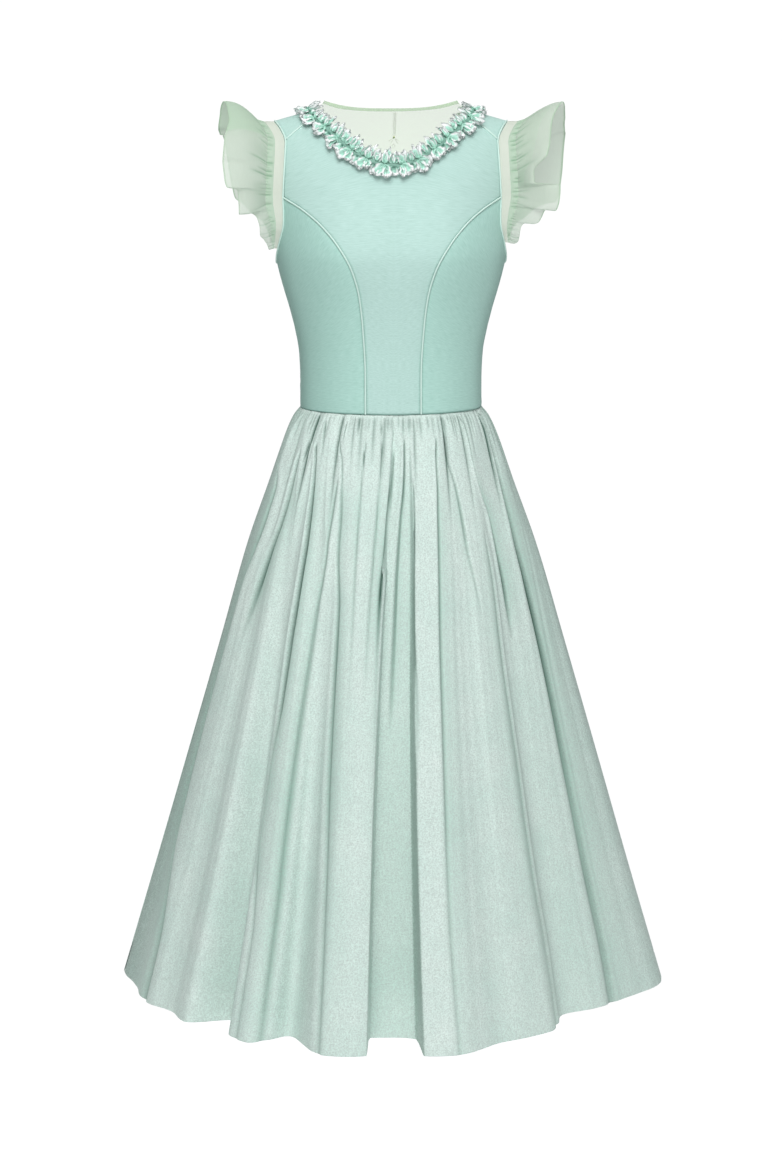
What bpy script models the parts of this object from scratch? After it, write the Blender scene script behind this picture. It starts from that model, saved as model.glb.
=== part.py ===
# A dirndl with the hollow form that it has on its wearer: a panelled bodice, a gathered skirt, a ruched
# neckline, a sheer yoke at the back of the neck and flutter sleeves.
# Metres. +Z is up, the front faces -Y, and the wearer's left is +X. The origin is on the centre line, at the
# height where the straps lie on the shoulders.
#
# The bodice is drawn on a form whose points have two coordinates: x, and the rise s over the shoulder, which
# is 0 on the shoulder's ridge, negative down the front and positive down the back.

import math
from collections import namedtuple

import bmesh
import bpy
import numpy as np

# Cloth and seams
SEAM_GAP = 0.0003  # between neighbouring pieces
BODICE_WALL = 0.0020
SKIRT_WALL = 0.0020
SHEER_WALL = 0.0010  # the organza of the yoke and the sleeves
PIPING_RADIUS = 0.0013
PIPING_LIFT = 0.0008  # clear of the panels
PIPING_END_GAP = 0.0055  # from a piping's end to the armhole's edge
PIPING_WAIST_GAP = 0.0005
SHOULDER_PIPING_FROM = 0.4  # the share of the forward seam that the ruche covers
ARMHOLE_PIPING_IN = 0.0022  # from the armhole's edge onto the bodice

# Heights
WAIST_Z = -0.4040
HEM_Z = -1.2444
UNDERARM_Z = -0.2000
FRONT_NECK_Z = -0.0520
BACK_NECK_Z = -0.1220
CHEST_Z = -0.0750  # centre-front end of the row that meets the top of the princess seam

# Shoulders
RIDGE_X, RIDGE_Z, RIDGE_SLOPE = 0.1000, 0.0120, 0.29  # a point of the ridge, and its fall per metre outwards
RIDGE_ROUND = 0.0300  # how far from the middle the ridge is rounded over
SHOULDER_ROUND = 0.1000  # the height over which the shoulder turns into the chest and the back
STRAP_INNER_X, STRAP_OUTER_X = 0.1050, 0.1625  # the strap's edges on the ridge
SIDE_SEAM_ANGLE = 92.0
DEGREE_LENGTH = 0.003  # round the body at the underarm

# How many points the lines of the bodice are drawn with
SEAM_STATIONS = 9
STRAP_STATIONS = 9
UNDERARM_STATIONS = 7
CHEST_STATIONS = 6
PANEL_COLUMNS = 5

# Bust
BUST_X, BUST_Z, BUST_REACH, BUST_FULLNESS = 0.0760, -0.1850, 0.0560, 0.0110

Section = namedtuple("Section", "height half_width front back")
BODY = (
    Section(0.050, 0.1780, 0.080, 0.082),
    Section(0.000, 0.1780, 0.084, 0.088),
    Section(-0.050, 0.1750, 0.090, 0.096),
    Section(-0.100, 0.1710, 0.100, 0.102),
    Section(-0.150, 0.1660, 0.110, 0.104),
    Section(-0.185, 0.1630, 0.114, 0.103),
    Section(-0.212, 0.1574, 0.111, 0.101),
    Section(-0.240, 0.1499, 0.106, 0.099),
    Section(-0.268, 0.1417, 0.101, 0.097),
    Section(-0.296, 0.1348, 0.097, 0.095),
    Section(-0.324, 0.1301, 0.094, 0.093),
    Section(-0.360, 0.1286, 0.093, 0.092),
    Section(WAIST_Z, 0.1290, 0.095, 0.094),
)

# Seams and edges of the bodice, on the wearer's left; the right ones mirror them.
Place = namedtuple("Place", "x z")
FRONT_PRINCESS = (
    Place(0.0385, WAIST_Z),
    Place(0.0385, -0.350),
    Place(0.0415, -0.290),
    Place(0.0470, -0.240),
    Place(0.0570, -0.204),
    Place(0.0740, -0.173),
    Place(0.0980, -0.144),
    Place(0.1250, -0.122),
    Place(0.1510, -0.107),
)
BACK_PRINCESS = (
    Place(0.0450, WAIST_Z),
    Place(0.0460, -0.340),
    Place(0.0530, -0.270),
    Place(0.0700, -0.205),
    Place(0.0980, -0.155),
    Place(0.1300, -0.120),
    Place(0.1530, -0.103),
)
FRONT_ARMHOLE = (Place(0.1510, -0.107), Place(0.1500, -0.085), Place(0.1485, -0.060), Place(0.1470, -0.0305))
BACK_ARMHOLE = (Place(0.1530, -0.103), Place(0.1535, -0.080), Place(0.1560, -0.050), Place(0.1590, -0.025))
FRONT_NECK = (
    Place(0.0000, FRONT_NECK_Z),
    Place(0.0170, -0.0495),
    Place(0.0340, -0.0425),
    Place(0.0520, -0.0320),
    Place(0.0690, -0.0180),
    Place(0.0870, -0.0045),
    Place(0.0990, 0.0040),
)
BACK_NECK = (
    Place(0.0000, BACK_NECK_Z),
    Place(0.0280, -0.1170),
    Place(0.0540, -0.1010),
    Place(0.0750, -0.0740),
    Place(0.0890, -0.0420),
    Place(0.0980, -0.0120),
)
FORWARD_SEAM = (Place(0.1010, 0.0045), Place(0.1470, -0.0305))  # where the strap from the back is sewn on

# The lower half of the armhole, by the angle round the body from the front's middle.
Turn = namedtuple("Turn", "angle z")
LOWER_ARMHOLE_FRONT = (
    Turn(64.5, -0.142),
    Turn(70.0, -0.164),
    Turn(78.0, -0.184),
    Turn(86.0, -0.1965),
    Turn(SIDE_SEAM_ANGLE, UNDERARM_Z),
)
LOWER_ARMHOLE_BACK = (
    Turn(116.0, -0.130),
    Turn(112.0, -0.157),
    Turn(106.0, -0.181),
    Turn(99.0, -0.1955),
    Turn(SIDE_SEAM_ANGLE, UNDERARM_Z),
)

# Sheer yoke
YOKE_CORNER_X, YOKE_CORNER_Z, YOKE_CORNER_LIFT = 0.0925, 0.0225, 0.0090
YOKE_NAPE_Z = 0.0106
YOKE_TOP_POWER = 3.0  # of the curve its top edge hangs in
YOKE_ROWS = 4

# Neck ruche: a ribbon drawn together at its pinches, lying along the neckline
RUCHE_OFFSET = 0.0100  # its middle from the neckline
RUCHE_PINCHES = (
    0.312, 0.343, 0.372, 0.405, 0.435, 0.465, 0.490, 0.511, 0.535, 0.565, 0.596, 0.632, 0.661, 0.696
)  # of those in front, as shares of its length
RUCHE_BACK_UNITS = 9  # from the centre back to the first of these on either side
RUCHE_FULLER, RUCHE_FULLER_REACH = 0.14, 0.045  # how much wider it is at the centre front, and how far
RUCHE_GAP = 0.0008  # between its ends, at the centre back
RUCHE_LIFT = 0.0012
RucheShape = namedtuple("RucheShape", "half_width edge_height crown_height")
RUCHE_PINCH = RucheShape(0.0095, 0.0022, 0.0050)
RUCHE_PUFF = RucheShape(0.0150, 0.0045, 0.0090)
RuchePoint = namedtuple("RuchePoint", "across height")  # shares of the half width, and which height it has
RUCHE_SECTION = (
    RuchePoint(-1.00, None),
    RuchePoint(0.00, None),
    RuchePoint(1.00, None),
    RuchePoint(0.95, "edge_height"),
    RuchePoint(0.35, "crown_height"),
    RuchePoint(-0.35, "crown_height"),
    RuchePoint(-0.95, "edge_height"),
)

# Sleeves: the share of the way round the armhole from the front underarm, and what the sleeve measures there
BAND_WIDTH = 0.0130
CASING_WIDTH = 0.0100
SLEEVE_SPAN = (0.0283, 0.4414)  # from the underarm seam, forwards and up round the armhole
ARM_CENTRE_Y, ARM_CENTRE_Z = 0.004, -0.105
SLEEVE_START = 0.0008  # from the armhole's edge
SLEEVE_GAP = 0.0006
SLEEVE_TAPER, SLEEVE_END_WIDTH = 0.16, 0.30  # the share over which band and casing widen, and from what share
CASING_RISE = 0.15  # away from the arm, per metre of its width
Frill = namedtuple("Frill", "share width flare")  # where round the armhole, and the lean away from the arm
FRILL_LEFT = (
    Frill(0.050, 0.006, 0.30),
    Frill(0.062, 0.011, 0.35),
    Frill(0.085, 0.013, 0.35),
    Frill(0.115, 0.014, 0.35),
    Frill(0.130, 0.018, 0.38),
    Frill(0.142, 0.033, 0.40),
    Frill(0.160, 0.040, 0.42),
    Frill(0.182, 0.045, 0.45),
    Frill(0.194, 0.057, 0.48),
    Frill(0.235, 0.061, 0.42),
    Frill(0.254, 0.031, 0.85),
    Frill(0.275, 0.031, 0.85),
    Frill(0.305, 0.050, 0.68),
    Frill(0.350, 0.052, 0.52),
    Frill(0.425, 0.0560, 0.46),
    Frill(0.500, 0.0590, 0.45),
    Frill(0.550, 0.063, 0.36),
    Frill(0.600, 0.070, 0.42),
    Frill(0.650, 0.077, 0.50),
    Frill(0.700, 0.082, 0.50),
    Frill(0.750, 0.081, 0.48),
    Frill(0.800, 0.075, 0.45),
    Frill(0.820, 0.070, 0.44),
    Frill(0.845, 0.040, 0.42),
    Frill(0.870, 0.026, 0.40),
    Frill(0.900, 0.014, 0.38),
    Frill(0.955, 0.006, 0.20),
)
FRILL_RIGHT = (
    Frill(0.025, 0.005, 0.20),
    Frill(0.050, 0.007, 0.30),
    Frill(0.075, 0.011, 0.35),
    Frill(0.100, 0.017, 0.40),
    Frill(0.130, 0.016, 0.42),
    Frill(0.155, 0.018, 0.50),
    Frill(0.172, 0.026, 0.50),
    Frill(0.184, 0.043, 0.55),
    Frill(0.205, 0.044, 0.58),
    Frill(0.228, 0.046, 0.58),
    Frill(0.243, 0.060, 0.52),
    Frill(0.262, 0.064, 0.48),
    Frill(0.300, 0.0665, 0.45),
    Frill(0.350, 0.065, 0.46),
    Frill(0.425, 0.056, 0.44),
    Frill(0.500, 0.0516, 0.50),
    Frill(0.550, 0.0555, 0.33),
    Frill(0.600, 0.061, 0.30),
    Frill(0.650, 0.064, 0.40),
    Frill(0.700, 0.0615, 0.50),
    Frill(0.750, 0.057, 0.48),
    Frill(0.800, 0.050, 0.45),
    Frill(0.840, 0.034, 0.42),
    Frill(0.870, 0.022, 0.40),
    Frill(0.900, 0.012, 0.35),
    Frill(0.970, 0.005, 0.20),
)
Tuck = namedtuple("Tuck", "share step")  # where the frill steps back behind itself
TUCKS_LEFT = (Tuck(0.244, -0.0040), Tuck(0.188, 0.0045), Tuck(0.136, 0.0035), Tuck(0.820, 0.0040))
TUCKS_RIGHT = (Tuck(0.236, 0.0045), Tuck(0.178, 0.0045), Tuck(0.118, 0.0030), Tuck(0.820, 0.0040))
TUCK_REACH = 0.019  # the share round the armhole that a step takes
FULL_WIDTH = 0.060  # narrower than this, a frill steps back by less
FRILL_ROUNDNESS = {1: 1.8, -1: 2.5}  # how soon each frill rises from its casing
FRILL_ROWS = (2.0, 2.25, 2.6, 3.0)

# Skirt
WAIST_GAP = 0.0006
SkirtSection = namedtuple("SkirtSection", "share half_width front back")
SKIRT = (
    SkirtSection(0.00, 0.1290, 0.0950, 0.0940),
    SkirtSection(0.03, 0.1428, 0.1065, 0.1060),
    SkirtSection(0.07, 0.1575, 0.1190, 0.1190),
    SkirtSection(0.13, 0.1765, 0.1370, 0.1380),
    SkirtSection(0.23, 0.2074, 0.1640, 0.1660),
    SkirtSection(0.40, 0.2505, 0.2060, 0.2100),
    SkirtSection(0.60, 0.3010, 0.2560, 0.2610),
    SkirtSection(0.80, 0.3510, 0.3060, 0.3110),
    SkirtSection(1.00, 0.4020, 0.3560, 0.3610),
)
# Its ridges and troughs, from the wearer's right round the front, then the back: the angle at the hem and at
# the waist, how far in it lies at the hem, and the share of the skirt's length where it begins.
Fold = namedtuple("Fold", "hem waist depth start")
FOLDS = (
    Fold(-92, -94, 0.006, 0.05),
    Fold(-79, -82, 0.022, 0.10),
    Fold(-70, -75, 0.016, 0.10),
    Fold(-59, -64, 0.032, 0.00),
    Fold(-52, -57, 0.026, 0.00),
    Fold(-44.5, -52, 0.070, 0.00),
    Fold(-38, -45, 0.024, 0.00),
    Fold(-32.5, -40, 0.013, 0.00),
    Fold(-24.5, -32, 0.058, 0.20),
    Fold(-14.5, -21, 0.003, 0.00),
    Fold(-9, -7, 0.012, 0.00),
    Fold(-6.5, 0, 0.090, 0.00),
    Fold(-1, 6, 0.078, 0.05),
    Fold(5.5, 11, 0.074, 0.00),
    Fold(8, 15, 0.006, 0.00),
    Fold(11, 22, 0.003, 0.00),
    Fold(22, 34, 0.030, 0.00),
    Fold(35, 44.5, 0.033, 0.00),
    Fold(46.5, 57, 0.072, 0.00),
    Fold(55, 71, 0.054, 0.00),
    Fold(66, 83, 0.033, 0.10),
    Fold(79, 93, 0.006, 0.05),
    Fold(91, 104, 0.020, 0.15),
    Fold(103, 113, 0.052, 0.00),
    Fold(112, 121, 0.008, 0.00),
    Fold(124, 132, 0.036, 0.10),
    Fold(133, 139, 0.068, 0.00),
    Fold(141, 146, 0.010, 0.00),
    Fold(155, 157, 0.006, 0.00),
    Fold(160, 162, 0.078, 0.00),
    Fold(172, 173, 0.066, 0.05),
    Fold(176, 176, 0.005, 0.00),
    Fold(190, 189, 0.024, 0.10),
    Fold(199, 197, 0.066, 0.00),
    Fold(206, 203, 0.014, 0.00),
    Fold(218, 214, 0.010, 0.00),
    Fold(227, 222, 0.060, 0.00),
    Fold(237, 232, 0.030, 0.15),
    Fold(247, 243, 0.012, 0.00),
    Fold(257, 254, 0.030, 0.10),
)
FOLD_GROWTH = 0.9  # the power by which a fold deepens down the skirt
FOLD_AT_WAIST = 0.035  # the share of its depth that it has at the waist
GATHER_PULL = 3.0  # the power by which the folds leave their places at the waist
SKIRT_ROWS = (0.0, 0.03, 0.08, 0.16, 0.27, 0.42, 0.60, 0.80, 1.0)
COLUMN_DEGREES = 4.2  # about the width of a column of faces at the hem

# name: colour, roughness
FINISHES = {
    "mint_cloth": ((0.50, 0.74, 0.68), 0.75),
    "mint_cloth_side": ((0.42, 0.66, 0.60), 0.75),
    "velvet_mint": ((0.56, 0.72, 0.66), 0.90),
    "organza": ((0.62, 0.76, 0.66), 0.45),
    "organza_casing": ((0.54, 0.74, 0.62), 0.50),
    "piping": ((0.74, 0.90, 0.84), 0.45),
    "ribbon": ((0.70, 0.84, 0.80), 0.40),
}


def smooth(rows, over, value, at):
    """The smooth curve through a table's rows, read at each of the places, with no overshoot between rows."""
    rows = sorted(rows, key=lambda row: getattr(row, over))
    x = np.array([getattr(row, over) for row in rows], float)
    y = np.array([getattr(row, value) for row in rows], float)
    return pchip(x, y, at)


def pchip(x, y, at):
    step = np.diff(x)
    slope = np.diff(y) / step
    tangent = np.zeros(len(x))
    for i in range(1, len(x) - 1):
        if slope[i - 1] * slope[i] > 0:
            before, after = 2 * step[i] + step[i - 1], step[i] + 2 * step[i - 1]
            tangent[i] = (before + after) / (before / slope[i - 1] + after / slope[i])
    tangent[0], tangent[-1] = slope[0], slope[-1]
    at = np.clip(np.asarray(at, float), x[0], x[-1])
    i = np.clip(np.searchsorted(x, at, side="right") - 1, 0, len(x) - 2)
    t = (at - x[i]) / step[i]
    return (
        (1 + 2 * t) * (1 - t) ** 2 * y[i]
        + t * (1 - t) ** 2 * step[i] * tangent[i]
        + t * t * (3 - 2 * t) * y[i + 1]
        + t * t * (t - 1) * step[i] * tangent[i + 1]
    )


def spread(points, count):
    """Count points at even distances along the smooth curve through points."""
    points = np.asarray(points, float)
    length = np.concatenate([[0], np.cumsum(np.linalg.norm(np.diff(points, axis=0), axis=1))])
    fine = np.linspace(0, length[-1], 20 * len(points))
    curve = np.stack([pchip(length, points[:, k], fine) for k in range(points.shape[1])], axis=1)
    along = np.concatenate([[0], np.cumsum(np.linalg.norm(np.diff(curve, axis=0), axis=1))])
    at = np.linspace(0, along[-1], count)
    return np.stack([np.interp(at, along, curve[:, k]) for k in range(points.shape[1])], axis=1)


# The form of the bodice


def ridge_height(x):
    return RIDGE_Z - RIDGE_SLOPE * (np.hypot(x, RIDGE_ROUND) - math.hypot(RIDGE_X, RIDGE_ROUND))


def drop_of(s):
    """How far below the ridge a point lies that is s over the shoulder."""
    turn = np.minimum(np.abs(s) / SHOULDER_ROUND, math.pi / 2)
    return SHOULDER_ROUND * (1 - np.cos(turn)) + np.maximum(np.abs(s) - SHOULDER_ROUND * math.pi / 2, 0)


def rise_of(drop):
    turned = np.clip(drop, 0, SHOULDER_ROUND)
    return SHOULDER_ROUND * np.arccos(1 - turned / SHOULDER_ROUND) + (
        np.maximum(drop - SHOULDER_ROUND, 0)
    )


def depth_at(x, z, front):
    """How far the form stands before or behind the middle plane, below the shoulder's rounding."""
    half = smooth(BODY, "height", "half_width", z)
    centre = smooth(BODY, "height", "front" if front else "back", z)
    depth = centre * np.sqrt(np.clip(1 - (x / half) ** 2, 0, 1))
    if front:
        away = ((np.abs(x) - BUST_X) ** 2 + (z - BUST_Z) ** 2) / BUST_REACH**2
        depth = depth + BUST_FULLNESS * np.exp(-away) * np.clip(depth / centre, 0, 1)
    return depth


def form(x, s):
    """Points of the form from x and the rise over the shoulder."""
    x, s = np.broadcast_arrays(np.asarray(x, float), np.asarray(s, float))
    z = ridge_height(x) - drop_of(s)
    turned = np.sin(np.minimum(np.abs(s) / SHOULDER_ROUND, math.pi / 2))
    y = np.where(s < 0, -depth_at(x, z, True), depth_at(x, z, False)) * turned
    return np.stack([x, y, z], axis=-1)


def form_at(angle, z):
    """Points of the form from the angle round the body and the height."""
    angle, z = np.broadcast_arrays(np.radians(angle), np.asarray(z, float))
    half = smooth(BODY, "height", "half_width", z)
    x = half * np.sin(angle)
    turned = np.sin(rise_of(ridge_height(x) - z).clip(0, SHOULDER_ROUND * math.pi / 2) / SHOULDER_ROUND)
    y = np.where(np.cos(angle) > 0, -depth_at(x, z, True), depth_at(x, z, False)) * turned
    return np.stack([x, y, z], axis=-1)


def facing(surface, a, b, step_a, step_b):
    """A surface's outward unit normals, from neighbouring points."""
    along = surface(a + step_a, b) - surface(a - step_a, b)
    up = surface(a, b + step_b) - surface(a, b - step_b)
    normal = np.cross(along, up)
    return normal / np.linalg.norm(normal, axis=-1, keepdims=True)


def form_normals(x, s):
    return facing(form, x, s, 1e-4, 1e-4)


def form_normals_at(angle, z):
    return facing(form_at, angle, z, 0.05, 1e-4)


def laid(places, front):
    """Places on the front or the back as pairs of x and rise."""
    x = np.array([p.x for p in places])
    z = np.array([p.z for p in places])
    rise = rise_of(ridge_height(x) - z)
    return np.stack([x, -rise if front else rise], axis=1)


def turned_places(pairs, front):
    """Pairs of x and rise as pairs of angle and height."""
    z = ridge_height(pairs[:, 0]) - drop_of(pairs[:, 1])
    half = smooth(BODY, "height", "half_width", z)
    angle = np.degrees(np.arcsin(np.clip(pairs[:, 0] / half, -1, 1)))
    return np.stack([angle if front else 180 - angle, z], axis=1)


# Meshes


def material(name):
    colour, roughness = FINISHES[name]
    found = bpy.data.materials.new(name)
    found.use_nodes = True
    shader = found.node_tree.nodes["Principled BSDF"]
    shader.inputs["Base Color"].default_value = (*colour, 1)
    shader.inputs["Roughness"].default_value = roughness
    shader.inputs["Metallic"].default_value = 0.0
    found.diffuse_color = (*colour, 1)
    return found


def wall(name, outer, thickness_normals, thickness, finish, mirrored=False):
    """A cloth wall: the loft between a grid of points and the same grid moved in, with a rim round its edges.
    A mirrored one is half a panel, open at the middle plane."""
    inner = outer - thickness * thickness_normals
    rows, columns = outer.shape[:2]
    if mirrored:
        on_middle = np.abs(outer[..., 0]) < 1e-6
        inner[on_middle, 0] = 0
        outer[on_middle, 0] = 0
    shape = bmesh.new()
    sides = [[[shape.verts.new(p) for p in row] for row in grid] for grid in (outer, inner)]
    for side in sides:
        for i in range(rows - 1):
            for j in range(columns - 1):
                shape.faces.new((side[i][j], side[i][j + 1], side[i + 1][j + 1], side[i + 1][j]))
    edge = (
        [(0, j) for j in range(columns)]
        + [(i, columns - 1) for i in range(1, rows)]
        + [(rows - 1, j) for j in range(columns - 2, -1, -1)]
        + [(i, 0) for i in range(rows - 2, 0, -1)]
    )
    for here, there in zip(edge, edge[1:] + edge[:1]):
        corners = [side[i][j] for side, (i, j) in zip((*sides, *sides[::-1]), (here, here, there, there))]
        if not (mirrored and all(abs(v.co.x) < 1e-6 for v in corners)):
            shape.faces.new(corners)
    return finished(name, shape, finish, mirrored)


def finished(name, shape, finish, mirrored=False):
    bmesh.ops.recalc_face_normals(shape, faces=shape.faces)
    mesh = bpy.data.meshes.new(name)
    shape.to_mesh(mesh)
    shape.free()
    mesh.shade_smooth()
    mesh.set_sharp_from_angle(angle=math.radians(50))
    made = bpy.data.objects.new(name, mesh)
    mesh.materials.append(material(finish))
    garment.objects.link(made)
    if mirrored:
        mirror = made.modifiers.new("other half", "MIRROR")
        mirror.merge_threshold = 0.0001
    return made


def flipped(points, side):
    return points * np.array([side, 1, 1])


def patch(bottom, top, left, right):
    """A grid between four edges that meet at its corners. Left and right run up it."""
    across = np.linspace(0, 1, len(bottom))[None, :, None]
    up = np.linspace(0, 1, len(left))[:, None, None]
    return (
        (1 - up) * bottom[None]
        + up * top[None]
        + (1 - across) * left[:, None]
        + across * right[:, None]
        - (1 - up) * (1 - across) * bottom[0]
        - (1 - up) * across * bottom[-1]
        - up * (1 - across) * top[0]
        - up * across * top[-1]
    )


def drawn_in(grid, edges, by=SEAM_GAP * 0.8):
    """A grid of points with its named edges drawn in, so that a gap is left at each seam."""
    grid = grid.copy()
    for edge in edges:
        at, beside = {
            "left": (np.s_[:, 0], np.s_[:, 1]),
            "right": (np.s_[:, -1], np.s_[:, -2]),
            "bottom": (np.s_[0], np.s_[1]),
            "top": (np.s_[-1], np.s_[-2]),
        }[edge]
        inwards = grid[beside] - grid[at]
        grid[at] += by * inwards / np.linalg.norm(inwards, axis=-1, keepdims=True)
    return grid


# Lines of the bodice, as pairs of x and rise


def front_princess_line():
    return spread(laid(FRONT_PRINCESS, True), SEAM_STATIONS)


def back_princess_line():
    return spread(laid(BACK_PRINCESS, False), SEAM_STATIONS)


def strap_outer_edge():
    """The armhole's edge of the strap, from the back over the shoulder to the forward seam."""
    back = laid(BACK_ARMHOLE, False)
    front_end = laid(FORWARD_SEAM[1:], True)
    return spread(np.concatenate([back, [[STRAP_OUTER_X, 0.0]], front_end]), STRAP_STATIONS)


def strap_inner_edge():
    """The neck's edge of the back panel, from the centre back over the shoulder to the forward seam."""
    back = laid(BACK_NECK, False)
    front_end = laid(FORWARD_SEAM[:1], True)
    return spread(np.concatenate([back, [[STRAP_INNER_X, 0.0]], front_end]), STRAP_STATIONS)


def lower_armhole(front):
    """The armhole's lower part, from the princess seam to the side seam, as angles and heights."""
    top = laid((FRONT_PRINCESS if front else BACK_PRINCESS)[-1:], front)
    turns = LOWER_ARMHOLE_FRONT if front else LOWER_ARMHOLE_BACK
    line = np.concatenate([turned_places(top, front), [tuple(t) for t in turns]])
    return spread(line * [DEGREE_LENGTH, 1], UNDERARM_STATIONS) / [DEGREE_LENGTH, 1]


def make_front_center():
    seam = front_princess_line()
    armhole = spread(laid(FRONT_ARMHOLE, True), CHEST_STATIONS)
    right = np.concatenate([seam, armhole[1:]])
    chest = laid([Place(0, WAIST_Z), Place(0, CHEST_Z)], True)
    neck = spread(laid(FRONT_NECK + FORWARD_SEAM[:1], True), CHEST_STATIONS - 1)
    left = np.concatenate([spread(chest, SEAM_STATIONS), neck])
    bottom = np.linspace(left[0], right[0], PANEL_COLUMNS)
    bottom[:, 1] = laid([Place(x, WAIST_Z) for x in bottom[:, 0]], True)[:, 1]
    top = np.linspace(left[-1], right[-1], PANEL_COLUMNS)
    flat = patch(bottom, top, left, right)
    x, s = flat[..., 0], flat[..., 1]
    grid = drawn_in(form(x, s), ("right", "top"))
    wall("bodice_front_center", grid, form_normals(x, s), BODICE_WALL, "mint_cloth", mirrored=True)


def make_side_panel(front, side):
    seam = turned_places(front_princess_line() if front else back_princess_line(), front)
    side_seam = np.linspace((SIDE_SEAM_ANGLE, WAIST_Z), (SIDE_SEAM_ANGLE, UNDERARM_Z), SEAM_STATIONS)
    top = lower_armhole(front)
    bottom = np.linspace(seam[0], side_seam[0], len(top))
    flat = patch(bottom, top, seam, side_seam)
    angle, z = flat[..., 0], flat[..., 1]
    grid = drawn_in(form_at(angle, z), ("left", "right"))
    name = f"bodice_{'front' if front else 'back'}_side_{'left' if side > 0 else 'right'}"
    normals = form_normals_at(angle, z)
    wall(name, flipped(grid, side), flipped(normals, side), BODICE_WALL, "mint_cloth_side")


def make_back_center(side):
    seam = back_princess_line()
    right = np.concatenate([seam, strap_outer_edge()[1:]])
    centre = laid([Place(0, WAIST_Z), Place(0, BACK_NECK_Z)], False)
    left = np.concatenate([spread(centre, SEAM_STATIONS), strap_inner_edge()[1:]])
    bottom = np.linspace(left[0], right[0], PANEL_COLUMNS)
    bottom[:, 1] = laid([Place(x, WAIST_Z) for x in bottom[:, 0]], False)[:, 1]
    top = np.linspace(left[-1], right[-1], PANEL_COLUMNS)
    flat = patch(bottom, top, left, right)
    x, s = flat[..., 0], flat[..., 1]
    grid = drawn_in(form(x, s), ("left", "right", "top"))
    name = f"bodice_back_{'left' if side > 0 else 'right'}"
    normals = form_normals(x, s)
    wall(name, flipped(grid, side), flipped(normals, side), BODICE_WALL, "mint_cloth")


def make_yoke():
    """The sheer piece that fills the back of the neck, from the back neckline up to the nape."""
    edge = strap_inner_edge()[:-1]
    bottom = np.concatenate([edge[:0:-1] * [-1, 1], edge])
    share = np.linspace(-1, 1, len(bottom))
    height = YOKE_NAPE_Z + (YOKE_CORNER_Z - YOKE_NAPE_Z) * np.abs(share) ** YOKE_TOP_POWER
    drop = ridge_height(YOKE_CORNER_X * share) + YOKE_CORNER_LIFT * share**2 - height
    top = np.stack([YOKE_CORNER_X * share, rise_of(drop)], axis=1)
    up = np.linspace(0, 1, YOKE_ROWS)[:, None]
    x = bottom[:, 0] * (1 - up) + top[:, 0] * up
    s = bottom[:, 1] * (1 - up) + top[:, 1] * up
    grid = form(x, s)
    grid[..., 2] += YOKE_CORNER_LIFT * up**2 * share**2
    grid = drawn_in(grid, ("bottom",), SEAM_GAP * 2)
    wall("neck_yoke", grid, form_normals(x, s), SHEER_WALL, "organza")


def neckline():
    """The whole neckline from the centre back round the front to the centre back, as pairs of x and rise."""
    left_back = laid(BACK_NECK, False)
    front = laid(FRONT_NECK, True)
    half = np.concatenate([front, [[STRAP_INNER_X, 0.0]], left_back[::-1]])
    return np.concatenate([half[:0:-1] * [-1, 1], half])


def ruche_line():
    """The ruche's middle and the way out from the neckline, at every pinch and halfway between them."""
    fine = spread(neckline(), 1201)
    tangent = np.gradient(fine, axis=0)
    tangent[0], tangent[-1] = (-1, 0), (-1, 0)
    tangent /= np.linalg.norm(tangent, axis=1, keepdims=True)
    outwards = np.stack([tangent[:, 1], -tangent[:, 0]], axis=1)
    fine = fine + outwards * RUCHE_OFFSET
    share = np.linspace(0, 1, len(fine))
    first = np.linspace(0, RUCHE_PINCHES[0], RUCHE_BACK_UNITS + 1)[:-1]
    last = np.linspace(RUCHE_PINCHES[-1], 1, RUCHE_BACK_UNITS + 1)[1:]
    pinches = np.concatenate([first, RUCHE_PINCHES, last])
    at = np.interp(np.arange(2 * len(pinches) - 1) / 2, np.arange(len(pinches)), pinches)
    line = np.stack([np.interp(at, share, fine[:, k]) for k in range(2)], axis=1)
    line[0, 0], line[-1, 0] = -RUCHE_GAP / 2, RUCHE_GAP / 2
    return line, np.stack([np.interp(at, share, outwards[:, k]) for k in range(2)], axis=1)


def make_ruche():
    """The pinched ribbon: a strip whose cross-section swells between the pinches."""
    line, outwards = ruche_line()
    shape = bmesh.new()
    rings = []
    for k in range(len(line)):
        size = RUCHE_PINCH if k % 2 == 0 else RUCHE_PUFF
        fuller = 1 + RUCHE_FULLER * math.exp(-((line[k, 0] / RUCHE_FULLER_REACH) ** 2)) * (line[k, 1] < 0)
        ring = []
        for point in RUCHE_SECTION:
            height = getattr(size, point.height) if point.height else 0.0
            x, s = line[k] + outwards[k] * point.across * size.half_width * fuller
            ring.append(shape.verts.new(form(x, s) + form_normals(x, s) * (RUCHE_LIFT + height)))
        rings.append(ring)
    for a, b in zip(rings, rings[1:]):
        for i in range(len(a)):
            j = (i + 1) % len(a)
            shape.faces.new((a[i], a[j], b[j], b[i]))
    shape.faces.new(rings[0])
    shape.faces.new(rings[-1])
    finished("neck_ruche", shape, "ribbon")


def pipe(name, points):
    """A thin piping along points that are already lifted off the panels."""
    curve = bpy.data.curves.new(name, "CURVE")
    curve.dimensions = "3D"
    curve.bevel_depth = PIPING_RADIUS
    curve.bevel_resolution = 2
    curve.use_fill_caps = True
    line = curve.splines.new("POLY")
    line.points.add(len(points) - 1)
    for point, place in zip(line.points, points):
        point.co = (*place, 1)
    curve.materials.append(material("piping"))
    garment.objects.link(bpy.data.objects.new(name, curve))


def lifted(pairs, side):
    x, s = pairs[:, 0], pairs[:, 1]
    return flipped(form(x, s) + form_normals(x, s) * (PIPING_RADIUS + PIPING_LIFT), side)


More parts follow.
